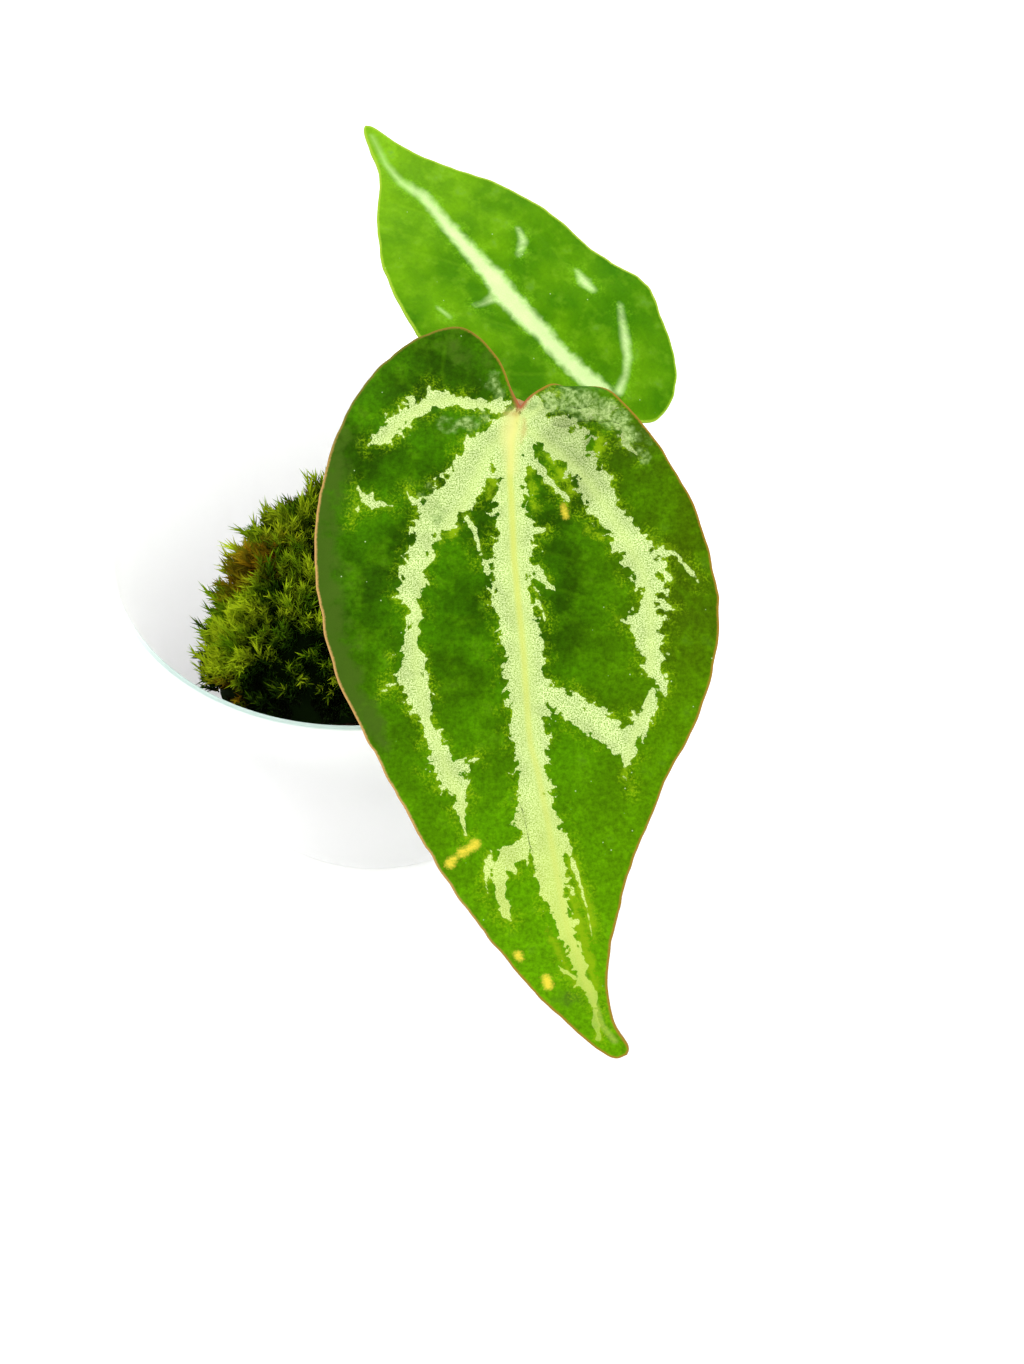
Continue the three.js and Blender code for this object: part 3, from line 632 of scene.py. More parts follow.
SHEATH_RADIUS = 6.2
SHEATH_FOOT = 57
SHEATH_HEIGHT = 21
SHEATH_FACING = 205
SHEATH_HALF_TURN = 62
SHEATH_THICKNESS = 0.3

cataphyll, around, up = flat_sheet("dry_sheath", 48, 60)
fray = 0.05 * soft_noise(np.column_stack([around * 14, up * 2, up * 0]), 1, 12)
spread = SHEATH_HALF_TURN * np.sqrt(np.clip(1 - up ** 2.2, 0, 1)) + 2
facing = np.radians(SHEATH_FACING + spread * (2 * around - 1))
lean = SHEATH_RADIUS + 1.6 * up * up + 0.12 * np.sin(around * 60) + 0.25 * np.sin(5 * up + 6 * around)
set_places(cataphyll, np.column_stack([
    CROWN_CENTRE[0] + lean * np.cos(facing), CROWN_CENTRE[1] + lean * np.sin(facing),
    SHEATH_FOOT + SHEATH_HEIGHT * (up + fray * up * (1 - up) * 2),
]))
close_up(cataphyll)
apply_modifier(cataphyll, "SOLIDIFY", thickness=SHEATH_THICKNESS * MM, offset=0)

# Dry leaf tissue: thin, pale tan with darker brown fibres about 0.6 mm apart along its length.
paper, tree = start_material("dried leaf sheath, papery", Roughness=0.75)
place = add_node(tree, "TexCoord").outputs["Object"]
stretch = add_node(tree, "Mapping", {"Vector": place, "Scale": (1.0, 1.0, 0.08)}).outputs[0]
fibres, stain = (
    add_node(tree, "TexNoise", {"Vector": vector, "Scale": 1 / (size * MM), "Detail": detail}).outputs["Fac"]
    for vector, size, detail in ((stretch, 0.6, 3.0), (place, 5, 2.0))
)
tan = add_node(tree, "Mix", {0: fibres, 6: "#8a6436", 7: "#d3b47c"}, data_type="RGBA").outputs[2]
colour = add_node(tree, "Mix", {0: stain, 6: "#9a7a48", 7: tan}, data_type="RGBA").outputs[2]
finish_material(tree, colour, fibres, 0.6, 0.15)
hand_over(cataphyll, paper, "cataphyll", 50)


# Stalks
# The two leaf stalks: round, firm and green, with a shallow channel on top, a wider foot that
# clasps the crown and a thicker knee under the blade that turns it to the light.

STALKS = {
    "front": [
        (11.6, -4.6, 60), (12, -5.6, 69), (15, -5.2, 81), (20.6, -4.6, 91), (26, -6.8, 97.6),
        (27.9, -11, 101),
    ],
    "back": [
        (13.8, -1.6, 59), (16.2, -1.2, 67.5), (23, 0.6, 74.4), (33, 2.8, 79), (41, 4.5, 82.2),
        (43.9, 6.1, 86),
    ],
}
STALK_RADIUS = 1.5
# Where each blade sits on its knee, with its heading and its slope there, in degrees, and how far
# below that place the knee ends.
BLADE_SEATS = {"front": ((27.8, -10, 102.2), 0, 26), "back": ((45, 5, 85.7), -136, -30)}
KNEE_BELOW = 0.6


def stalk_radius(share, length):
    """The stalk's radius: thicker at the knee, and wider where it clasps the crown."""
    knee = ease(8 - (1 - share) * length, 0, 4)
    foot = 1 - ease(share * length, 4, 18)
    return STALK_RADIUS + 0.5 * knee + 0.6 * foot


# Fresh stalk: satin green, streaked along its length, flushed red-brown and paler at the knee.
stalk_material, tree = start_material("leaf stalk, fresh", Roughness=0.45)
along, knee, around = (
    add_node(tree, "Attribute", attribute_name=name).outputs["Fac"]
    for name in ("along_stalk", "knee", "around_stalk")
)
lengthwise = add_node(tree, "CombineXYZ", {"X": around, "Y": along}).outputs[0]
streaks = add_node(tree, "TexNoise", {"Vector": lengthwise, "Scale": 1 / 0.5, "Detail": 3.0}).outputs["Fac"]
place = add_node(tree, "TexCoord").outputs["Object"]
blush = add_node(tree, "TexNoise", {"Vector": place, "Scale": 1 / (7 * MM), "Detail": 2.0}).outputs["Fac"]
flushed = add_node(tree, "MapRange", {
    "Value": blush, "From Min": 0.5, "From Max": 0.8, "To Max": 0.6,
}).outputs[0]
colour = paint("#5f8a24")
for amount, over in ((streaks, "#a3c65a"), (flushed, "#a0603c"), (knee, "#b8764a")):
    colour = add_node(tree, "Mix", {0: amount, 6: colour, 7: over}, data_type="RGBA").outputs[2]
finish_material(tree, colour, streaks, 0.3, 0.08)

for end, points in STALKS.items():
    stalk, around, share, length = roll_tube(f"stalk_{end}", points, stalk_radius, 28, 110, groove=0.1)
    keep_number(stalk, "along_stalk", 0.12 * share * length)
    keep_number(stalk, "around_stalk", 9 * np.abs(2 * around - 1))
    keep_number(stalk, "knee", 0.8 * ease(7 - (1 - share) * length, 0, 6))
    close_up(stalk, fill=True)
    seat, heading, slope = BLADE_SEATS[end]
    heading, slope = math.radians(heading), math.radians(slope)
    normal = (math.sin(heading) * math.sin(slope), -math.cos(heading) * math.sin(slope), math.cos(slope))
    bpy.ops.object.mode_set(mode="EDIT")
    bpy.ops.mesh.select_all(action="SELECT")
    bpy.ops.mesh.bisect(
        plane_co=tuple((s - KNEE_BELOW * n) * MM for s, n in zip(seat, normal)), plane_no=normal,
        use_fill=True, clear_outer=True,
    )
    bpy.ops.object.mode_set(mode="OBJECT")
    hand_over(stalk, stalk_material, f"petiole_{end}", 60)


# Front blade
# The large mature leaf: a heart-shaped, velvety blade with a silver zone along its veins, sunk
# veins, a thin tan margin and a drawn-out tip. It hangs forward from the knee of its stalk.

FRONT_LEAF = {
    "seat": BLADE_SEATS["front"],
    "tip_slope": 52,
    "thickness": 0.55,
    "ribs": 280,
    "columns": 64,
    "midrib": [(0, 0), (-0.6, 26), (0.8, 44), (2.6, 62), (5, 76), (9, 91), (17, 104.3)],
    "left": [
        (0, 0.5), (-1.3, -2.2), (-3.7, -7.8), (-9.6, -12.7), (-19.2, -9), (-26.8, 0.8), (-31.2, 13.5),
        (-32.2, 25), (-29.6, 41), (-22, 57), (-11.5, 75.6), (2, 93.4), (12.2, 103.2), (15.3, 104.9),
        (17, 104.3),
    ],
    "right": [
        (0, 0.5), (1.4, -1.1), (3.2, -2.4), (5.6, -3.6), (8.4, -4.6), (12.7, -3.1), (17.4, 0.9),
        (24, 10.8), (29.2, 22.8), (31.2, 35), (28.4, 48), (22, 61.5), (17, 75), (13.9, 90), (14.8, 98.5),
        (17.3, 103.2), (17, 104.3),
    ],
    "wave_height": 0.9,
    "waves": (4.5, 4),
    "curl": {"start": -0.6, "radius": 2.8, "sinus_start": -4.5, "from": 1, "to": 7.5},
}
# The silver zone as strokes along the veins: [across, along, width] on the flat blade.
FRONT_SILVER = {
    "midrib": [
        (-1.5, 2.5, 3.75), (-1.5, 8.5, 4.5), (-1.5, 15.5, 5), (-1, 22.5, 6.25), (-1.5, 29.5, 6.5),
        (-0.5, 35, 6.25), (0.5, 40.5, 6.75), (1, 47.5, 6.75), (1.5, 53.5, 5.75), (2, 60, 5.25),
        (2.5, 65.5, 6.25), (4, 70, 7), (5, 75, 4.75), (6, 79.5, 4), (7.5, 84.5, 2.75), (9, 88.5, 2.25),
        (10, 92, 2.5), (11.5, 95.5, 1.5), (12.5, 101.5, 1),
    ],
    "left_lateral": [
        (-4, 4, 2.5), (-6, 7.5, 5.5), (-8, 12, 6.25), (-10, 15.5, 6.75), (-12.5, 17.5, 6.75),
        (-15, 21.5, 4), (-16, 25.5, 3.75), (-17, 30, 4), (-16.5, 34, 2), (-17, 38.5, 2.75),
        (-17, 43, 4.5), (-15.5, 48.5, 3.75), (-14.5, 51, 1.75), (-13, 54.5, 3), (-12, 57, 3.75),
        (-10.5, 60, 4.25), (-9.5, 62.5, 2.25), (-9, 66, 1), (-8.5, 68.5, 0.5),
    ],
    "left_arm": [(-12.5, 17.5, 3.25), (-15.5, 17, 2), (-17, 16, 1), (-18, 14.5, 0.5)],
    "left_spur_a": [(-17.5, 31.5, 2), (-20, 32, 1)],
    "left_spur_b": [(-18, 44, 2.5), (-20, 45, 1.25), (-21.5, 46, 0.5)],
    "left_spur_c": [(-10.5, 58, 2.5), (-8.5, 57.5, 1.75), (-6.5, 56.5, 0.5)],
    "left_spur_d": [(-12.5, 56.5, 1.5), (-15, 58, 0.5)],
    "left_spur_e": [(-11, 60, 1.75), (-13, 61, 1)],
    "loop": [(-8.5, 18.5, 1), (-7, 21, 0.75), (-6.5, 24, 0.75), (-5, 27, 1.25)],
    "joint_left": [(-2.6, 3, 2.6), (-3.2, 5.5, 3.8), (-3.6, 8, 3.8), (-3.8, 10, 2)],
    "joint_right": [(0, 2.5, 2), (0.8, 5, 2.8), (1.2, 7.5, 2.2), (1.2, 9, 1.2)],
    "upper_left": [
        (-3, 0.8, 3), (-5.5, 0.3, 2.1), (-8.5, 0.1, 1.9), (-11, -0.4, 2), (-13, -0.5, 3),
        (-15, 0.5, 3.25), (-18, 2, 3), (-19.5, 4, 3.5), (-21.5, 6, 2.5), (-24, 7.5, 0.75),
    ],
    "upper_left_spur": [(-14.5, -1, 1.5), (-14.5, -2.5, 0.75)],
    "patch": [(-25.5, 14, 0.5), (-24.5, 16, 2.5), (-23.5, 16.5, 1.5), (-20, 17, 0.5)],
    "patch_tail": [(-25.5, 17.5, 1), (-26.5, 19.5, 0.25)],
    "right_lateral": [
        (1.5, 3, 4.25), (5, 5.5, 5.5), (8.5, 9, 5.5), (11.5, 13, 4.75), (13, 17, 5.25),
        (15, 20, 4.25), (18, 23.5, 5), (19.5, 26.5, 5.75), (20.5, 30.5, 3.5), (20.5, 32.5, 3),
        (20, 35, 5.25), (20.5, 39, 3.75), (20.5, 41.5, 3.5), (21.5, 44, 2.25), (22.5, 46.5, 1),
    ],
    "right_lower": [
        (20.5, 46, 1.5), (20.5, 48, 2.25), (19, 50.5, 2.75), (17.5, 53, 3), (17, 55, 2.75),
        (16.5, 57.5, 1), (16, 59, 0.5), (17.5, 61.5, 0.25),
    ],
    "right_spur_a": [(22, 24.5, 2), (24, 24.5, 1), (26, 26.5, 0.75), (28, 29, 0.5)],
    "right_spur_b": [(22, 27.5, 1.5), (23.5, 28.5, 0.75)],
    "right_spur_c": [(18, 27, 2), (16.5, 28, 0.5)],
    "right_spur_d": [(18.5, 34.5, 2.5), (16.5, 35.5, 1), (14.5, 34.5, 0.25)],
    "right_spur_e": [(22, 33, 2), (24, 33.5, 0.5)],
    "cross": [
        (3, 46, 4.75), (5.5, 47, 3.75), (8.5, 49, 4), (11, 50.5, 4.25), (13.5, 52, 4.75),
        (16, 54, 4), (17, 56, 1.75),
    ],
    "streak": [(1, 8, 2.25), (2.5, 10.5, 1.75), (4.5, 12.5, 1.25), (6, 14.5, 1.25), (8, 16.5, 0.75)],
    "lobe_sheet": [(1.2, 0.6, 3), (4.2, 2.4, 4), (7.6, 5, 4.5), (10, 7, 3.8)],
    "lobe_left": [(2.4, -0.6, 2.4), (3.8, 0, 2.6), (4.6, 1.4, 2.4)],
    "lobe_top": [(4.2, -1.6, 0.8), (6.5, -1.4, 0.6)],
    "lobe_bright": [(9, 1.6, 0.8), (11, 1.6, 1.8), (13.4, 1.9, 2), (15.4, 1, 0.8)],
    "lobe_streak": [(15, 3.5, 0.75), (16, 5.5, 1.75), (17, 7.5, 1), (18.5, 9, 0.5)],
    "lobe_island": [(10.5, 7.5, 1.25), (13.5, 7, 0.75)],
    "mid_spur": [(2.5, 27, 1.5), (4, 29, 1.25), (5.5, 30.5, 0.75)],
    "mid_spur_low": [(2.5, 32, 0.75), (3.5, 33.5, 0.5), (4, 35.5, 0.25)],
    "mid_spur_high": [(2, 21, 1.5), (4.5, 20.5, 0.5)],
    "low_left": [
        (1, 70, 3.5), (-1.5, 71.5, 3.5), (-3, 73.5, 3.75), (-3.5, 76, 2), (-3, 78.5, 2),
        (-2.5, 81, 1.5), (-1.5, 82, 0.75),
    ],
    "low_left_strand": [(-4.5, 70.5, 0.5), (-5, 73, 1.5), (-5.5, 75.5, 0.75), (-5, 78, 0.5)],
    "low_left_notch": [(-1.5, 73, 2), (-1, 74.5, 0.75)],
    "low_mid_notch": [(3, 73, 1.25), (3, 74, 0.5)],
    "low_right_strand": [
        (6.8, 69.5, 1.4), (8.2, 73, 1), (9.4, 76.2, 0.8), (10.2, 79, 0.5), (10.8, 82, 0.4),
        (11.4, 85.5, 0.2),
    ],
    "tip_side": [(6, 89.5, 0.5), (7, 90.5, 0.75), (8.5, 91.5, 1)],
}
# Green islands in the silver.
FRONT_GAPS = {
    "island_a": [(4.8, 1.9, 0.6), (6.2, 1.5, 1.7), (7.8, 1.4, 1.4), (9.2, 2, 0.4)],
    "island_b": [(8.5, 5, 0.4), (10, 4.4, 0.5), (11.2, 3.9, 0.2)],
    "island_c": [(4.3, 0.4, 0.4), (4.4, 1.1, 0.3)],
    "top": [
        (2.6, -2, 0.6), (5.6, -2.8, 1.6), (8.5, -2.8, 2.4), (11.5, -2.3, 2.4), (14, -1.6, 2),
        (16, -0.4, 1.4),
    ],
    "notch": [(12.2, 5, 0.8), (12.4, 6.2, 2.2), (11.6, 8, 1.6)],
    "cell": [(-4.6, 12.5, 1), (-4.2, 14.5, 1.6), (-5, 16.5, 1.2)],
    "tongue": [(1.3, 10, 0.3), (1.8, 13, 0.8), (2, 17, 0.6)],
}
# Where single silver cells are scattered among the green ones, so that it looks grey.
FRONT_HAZE = {
    "right_lobe": [
        (2.6, -0.4, 2), (6.5, -0.4, 3.8), (10.5, 0.2, 4.2), (14.5, 2.2, 3.4), (17.4, 5.4, 2.2),
        (19.4, 9, 1),
    ],
    "left_cell": [(-5.6, 3.2, 0.8), (-7.8, 3.5, 1.3), (-10.4, 3.8, 0.8), (-12.5, 3.8, 0.2)],
    "lobe_foot": [(-4.5, -4, 0.6), (-3.6, -2, 0.8)],
    "arm": [(-13, 21, 1), (-14.5, 15, 1)],
}
# Yellow-green strokes beside the silver.
FRONT_BRIGHT = {
    "low_right": [(6.6, 69, 0.6), (8.5, 74, 1.1), (10, 77.5, 0.9), (10.8, 81, 0.6), (11.8, 85.5, 0.3)],
    "low_right_inner": [(7, 74, 0.5), (8.2, 79, 1), (9.4, 83.5, 1.4), (10.6, 88, 1.6), (12, 93, 1)],
    "tip_left": [(4.6, 84, 0.3), (6.6, 88.5, 0.8), (8.6, 92.4, 0.7)],
    "cell": [(-4.8, 11.5, 1.4), (-4.4, 13.5, 1), (-5, 15.5, 0.5)],
    "tongue": [(1.4, 11, 0.5), (1.8, 14, 0.7), (2.2, 17.5, 0.3)],
    "loop": [(-9.5, 20, 0.3), (-11, 21.4, 0.9), (-12.2, 23, 0.5)],
    "streak": [(4, 8.6, 0.4), (6.4, 11.6, 0.7), (8.4, 15, 0.5)],
    "below_streak": [(10.4, 21, 0.4), (12.4, 21.8, 0.9), (14, 22, 0.3)],
    "notch": [(12.4, 4.8, 0.4), (12.8, 7, 0.8), (12, 9, 0.4)],
}
# Yellow blemishes, the cream patch at the head of the midrib and the brown stain beside it.
FRONT_SPOTS = {
    "a": [(6.8, 17, 0.5), (7.1, 18.6, 0.7)],
    "b": [(-7, 69.9, 1.3), (-8.2, 70.9, 0.9), (-9.2, 71.3, 1.3)],
    "c": [(-10.3, 72.2, 0.8), (-11, 72.9, 1.4)],
    "d": [(-0.4, 87.5, 1), (-0.1, 88, 0.9)],
    "e": [(4.1, 91.5, 1.1), (4.4, 92.6, 1.3)],
}
FRONT_CREAM = {
    "base": [(-1.2, 2.4, 1.8), (-1.5, 4.4, 2.4), (-1.7, 6.4, 1.6), (-1.6, 8.4, 0.8), (-1.4, 11, 0.3)],
}
FRONT_STAIN = {
    "beside_cream": [(0.7, 2.6, 0.4), (0.6, 4.4, 0.6), (0.3, 6.4, 0.3)],
    "head": [(-2.4, 1.6, 0.5), (-0.6, 1.5, 0.8)],
}
# The lines of the veins: the midrib, the main ones in the silver, and fine ones in the green.
FRONT_MIDLINE = {
    "midrib": [
        (-0.6, 2), (-1.4, 6), (-1.6, 12), (-1.3, 18), (-1, 25), (-0.5, 30), (0, 35), (0.6, 41), (1, 48),
        (1.6, 54.5), (2.8, 59), (3.6, 63), (4.3, 66.5), (5.5, 73.5), (6.5, 79), (7.5, 84), (9, 87.5),
        (10, 91.5), (11.5, 95), (13, 99.5), (15, 102),
    ],
}
FRONT_VEINS = {
    "left": [(-1, 4), (-2.8, 5), (-5, 8), (-6.7, 12), (-8.5, 16), (-10.6, 19), (-12.5, 22.5), (-14.2, 27),
             (-15.5, 32), (-16.2, 36.5), (-16.3, 42), (-15, 49), (-12, 57), (-9, 64), (-7.5, 72)],
    "right": [(-0.5, 4), (1.8, 4.8), (4.7, 7.3), (8, 10.2), (11, 13.6), (13.6, 17.5), (16, 21.5), (19, 27),
              (20.3, 33), (20.3, 41), (19.5, 48.5), (16.8, 56), (14.5, 65)],
    "upper_left": [(-1, 3), (-5, 0.8), (-11, -0.6), (-15, 0.4), (-19.5, 4), (-23.5, 10), (-26, 19),
                   (-26, 30)],
    "upper_right": [(0, 3), (4, 0), (8, -0.4), (12.5, 1.2), (17, 5), (22, 12.5), (25.5, 22), (26.5, 33)],
}
FRONT_FINE_VEINS = {
    "a": [(-0.8, 26), (4.5, 29.6), (9.5, 31.4), (13, 33.2), (17, 36.2)],
    "b": [(-0.8, 30), (-5, 34), (-9.5, 37.5), (-14.5, 40.5)],
    "c": [(-0.8, 22), (3, 24), (7.5, 25.4), (12, 27.5)],
    "d": [(0.6, 43), (-4.5, 48), (-9, 51.5), (-13, 54)],
    "e": [(2, 56), (6, 60), (11, 63.5), (15.5, 66)],
    "f": [(1.6, 54), (-3, 60), (-8, 65.5), (-13, 69)],
    "g": [(4, 66), (8, 71), (12, 76), (14.5, 82)],
    "h": [(4.6, 68), (1.5, 75), (-1.5, 81), (-3.6, 86)],
    "i": [(-16.3, 40), (-20.5, 44), (-25, 49)],
    "j": [(-15.8, 33), (-21, 36), (-26.5, 40)],
    "k": [(20.2, 36), (24.5, 40), (28, 45)],
    "l": [(19, 27), (23.5, 29), (28, 33.5)],
    "m": [(-11, -0.6), (-12.5, -5), (-12, -9.5)],
    "n": [(-19.5, 4), (-23, 2.5), (-26, 2.5)],
    "o": [(-12.5, 22.5), (-17.5, 23.5), (-23, 26), (-28, 30)],
}
# Cracks in the crinkled right lobe and beside the midrib.
FRONT_CRACKS = {
    "lobe": [(5.3, 3.6), (7, 4), (8.6, 3.5), (11, 3), (12.6, 3.4), (14.4, 3), (16, 3.6)],
    "lobe_high": [(7.6, 0.6), (9.4, 0.9), (10.6, 0.5)],
    "midrib": [(-0.2, 63.4), (0.5, 65.2), (1, 67.5), (1.4, 70), (2.1, 71.6)],
}
# How far the margin wanders in and out, the share of a blade's ribs that fan out from one place on
# the midrib, and how far along that place is; the rest leave the midrib one after another.
NIBBLE = 0.28
FAN = 0.24
FAN_FOOT = 4
# The width of an areole, the cell between the finest veins, and the cell that holds a mote of dust.
AREOLE_SIZE = 0.75
DUST_CELL = 2.6


def far_from_strokes(places, strokes):
    """How far each flat point is outside the nearest stroke, in millimetres, less than 0 inside,
    and half the width of the stroke there."""
    nearest, width = np.full(len(places), 99.0), np.zeros(len(places))
    for stroke in strokes.values():
        stroke = np.array(stroke, float)
        for a, b in zip(stroke[:-1], stroke[1:]):
            way = b[:2] - a[:2]
            share = np.clip((places - a[:2]) @ way / (way @ way), 0, 1)
            gap = np.linalg.norm(places - a[:2] - share[:, None] * way, axis=1)
            half = 0.0 * share if len(a) < 3 else (a[2] + (b[2] - a[2]) * share) / 2
            width = np.where(gap - half < nearest, half, width)
            nearest = np.minimum(nearest, gap - half)
    return nearest, width


def get_normals(piece):
    """The normals of the vertices of a piece."""
    normals = np.empty(len(piece.data.vertices) * 3, np.float32)
    piece.data.vertex_normals.foreach_get("vector", normals)
    return normals.reshape(-1, 3)


def kept_number(piece, name):
    """The numbers that a piece stores for its vertices under this name."""
    numbers = np.empty(len(piece.data.vertices), np.float32)
    piece.data.attributes[name].data.foreach_get("value", numbers)
    return numbers


def rounded_line(distance, height, width):
    """How far a soft line of this height stands out at this distance from it, in millimetres."""
    return height * np.exp(-(distance / width) ** 2)


def bend_blade(name, leaf, marks, relief):
    """A blade from a flat sheet, by the ribs that fan out from the midrib to the margin. marks gives
    the lines and patches whose distance each vertex keeps for the material."""
    piece, u, v = flat_sheet(name, 2 * leaf["columns"], leaf["ribs"])
    side = np.where(u < 0.5, 0, 1)
    share = np.abs(2 * u - 1)
    rib = v - 0.09 * np.sin(2 * math.pi * v)
    length = leaf["midrib"][-1][1]
    middle = curve_points(leaf["midrib"], np.linspace(0, 1, 600))

    def midrib_across(along):
        return np.where(along <= 0, 0, np.interp(along, middle[:, 1], middle[:, 0]))

    # The flat blade: each rib runs from its root on the midrib to its end on the margin.
    root = FAN_FOOT + (length - FAN_FOOT) * np.maximum(0, (rib - FAN) / (1 - FAN))
    root_across = midrib_across(root)
    left = curve_points(leaf["left"], rib, by_length=True)
    right = curve_points(leaf["right"], rib, by_length=True)
    edge = np.where(side[:, None] == 0, left, right)
    outwards = unit(edge - np.column_stack([root_across, root]))
    rim = np.column_stack([edge, side * 50])
    nibbled = soft_noise(rim, 3.4, 41) + soft_noise(rim, 1.5, 42) / 2
    edge += outwards * (NIBBLE * nibbled * np.sin(math.pi * rib) ** 0.5)[:, None]
    across = root_across + (edge[:, 0] - root_across) * share
    along = root + (edge[:, 1] - root) * share
    flat = np.column_stack([across, along])
    outline = flat[share > 0.999]
    found = {key: far_from_strokes(flat, strokes)[0] for key, strokes in marks.items()}
    found["silver_width"] = far_from_strokes(flat, marks["silver"])[1]
    found["margin"] = np.min([np.hypot(across - x, along - y) for x, y in outline], axis=0)
    found["joint"] = np.hypot(across, along - 0.5)
    found["silver"] = np.maximum(found["silver"], -found.pop("gap"))

    # How high each point stands: a channel along the midrib, a waved margin and the fine relief.
    from_midrib = across - midrib_across(along)
    dish = 0.1 * (np.hypot(from_midrib, 4) - 4) - 0.0022 * from_midrib ** 2
    window = np.sin(math.pi * np.minimum(1, 1.3 * rib)) ** 2
    wave_count = np.where(side == 0, *leaf["waves"])
    wave = leaf["wave_height"] * window * share ** 2 * np.sin(2 * math.pi * wave_count * rib + side)
    rise = dish + wave + relief(flat, found)
    if leaf["curl"]:
        curl = leaf["curl"]
        line = curl["sinus_start"] + (curl["start"] - curl["sinus_start"]) * ease(
            across, curl["from"], curl["to"])
        turn = np.where(across > curl["from"], np.maximum(0, line - along), 0) / curl["radius"]
        rise = rise - curl["radius"] * (1 - np.cos(turn))
        along = np.where(turn > 0, line - curl["radius"] * np.sin(turn), along)

    # The blade bends down along its length, from its slope at the joint to that at the tip.
    joint, heading, joint_slope = leaf["seat"]
    base, tip = np.radians((joint_slope, leaf["tip_slope"]))
    bend = (tip - base) / length
    slope = base + bend * np.maximum(along, 0)
    beyond = np.minimum(along, 0)
    forward = (np.sin(slope) - np.sin(base)) / bend + np.cos(base) * beyond + rise * np.sin(slope)
    up = (np.cos(slope) - np.cos(base)) / bend - np.sin(base) * beyond + rise * np.cos(slope)
    heading = math.radians(heading)
    set_places(piece, np.column_stack([
        across * math.cos(heading) + forward * math.sin(heading),
        across * math.sin(heading) - forward * math.cos(heading),
        up,
    ]) + joint)
    flat = np.column_stack([flat, np.zeros(len(flat))]).astype(np.float32)
    piece.data.attributes.new("flat", "FLOAT_VECTOR", "POINT").data.foreach_set("vector", flat.ravel())
    for key, distance in found.items():
        keep_number(piece, key, distance)
    close_up(piece)
    if get_normals(piece)[:, 2].sum() < 0:
        bpy.ops.object.mode_set(mode="EDIT")
        bpy.ops.mesh.flip_normals()
        bpy.ops.object.mode_set(mode="OBJECT")
    count = len(piece.data.vertices)
    apply_modifier(piece, "SOLIDIFY", thickness=leaf["thickness"] * MM, offset=0)
    places = get_places(piece)
    lower = np.arange(len(places)) >= count
    if places[count:2 * count, 2].mean() > places[:count, 2].mean():
        lower = ~lower
    keep_number(piece, "under", lower.astype(float))

    # Beneath, the midrib and the main veins stand out.
    ridge = 0
    for key, height, width in (("midline", 0.85, 0.9), ("vein", 0.35, 0.55), ("fine_vein", 0.12, 0.4)):
        ridge = ridge + rounded_line(kept_number(piece, key), height, width)
    inside = np.clip(kept_number(piece, "margin") / 4, 0, 1)
    set_places(piece, places + get_normals(piece) * (ridge * lower * inside)[:, None])
    return piece


def front_relief(flat, found):
    """Sunk veins, soft quilting between them, and the crinkled, cracked right lobe."""
    across, along = flat.T
    spread = np.column_stack([flat, np.zeros(len(flat))])
    fade = np.clip(1.2 - found["joint"] / 60, 0, 1)
    veins = rounded_line(found["midline"], 0.32, 1.2) + fade * rounded_line(found["vein"], 0.26, 1.1)
    veins += rounded_line(found["fine_vein"], 0.1, 0.8) + rounded_line(found["crack"], 0.3, 0.35)
    quilt = 0.24 * soft_noise(spread, 6.5, 21) + 0.1 * soft_noise(spread, 2.6, 22)
    lobe = np.exp(-((across - 10) / 6) ** 2 - ((along - 1.5) / 4) ** 2)
    crinkle = 0.5 * soft_noise(spread, 2.2, 23) + 0.25 * soft_noise(spread, 1.1, 24)
    return (quilt + lobe * crinkle - veins) * np.clip(found["margin"] / 1.5, 0.1, 1)


blade_front = bend_blade("leaf_front", FRONT_LEAF, {
    "silver": FRONT_SILVER, "gap": FRONT_GAPS, "haze": FRONT_HAZE, "bright": FRONT_BRIGHT,
    "spot": FRONT_SPOTS, "cream": FRONT_CREAM, "stain": FRONT_STAIN, "midline": FRONT_MIDLINE,
    "vein": FRONT_VEINS, "fine_vein": FRONT_FINE_VEINS, "crack": FRONT_CRACKS,
}, front_relief)

# Painted sheen: where the velvet turns away from the light its sheen greys it, and this is painted into the
# colour at the left margin, the top of the left lobe and a patch near the tip.
flat = np.empty(len(blade_front.data.vertices) * 3, np.float32)
blade_front.data.attributes["flat"].data.foreach_get("vector", flat)
across, along, _ = flat.reshape(-1, 3).T
band = 1 - ease(kept_number(blade_front, "margin"), 1, 6.4)
band *= ease(-across, 12, 24) * ease(along, 0, 14) * (1 - ease(along, 44, 66))
lobe_top = 0.5 * np.exp(-((across + 8) / 6) ** 2 - ((along + 8) / 3.5) ** 2)
near_tip = 0.42 * np.exp(-((across - 8) / 3.5) ** 2 - ((along - 95.5) / 3.5) ** 2)
keep_number(blade_front, "painted_sheen", np.clip(band + lobe_top + near_tip, 0, 1))


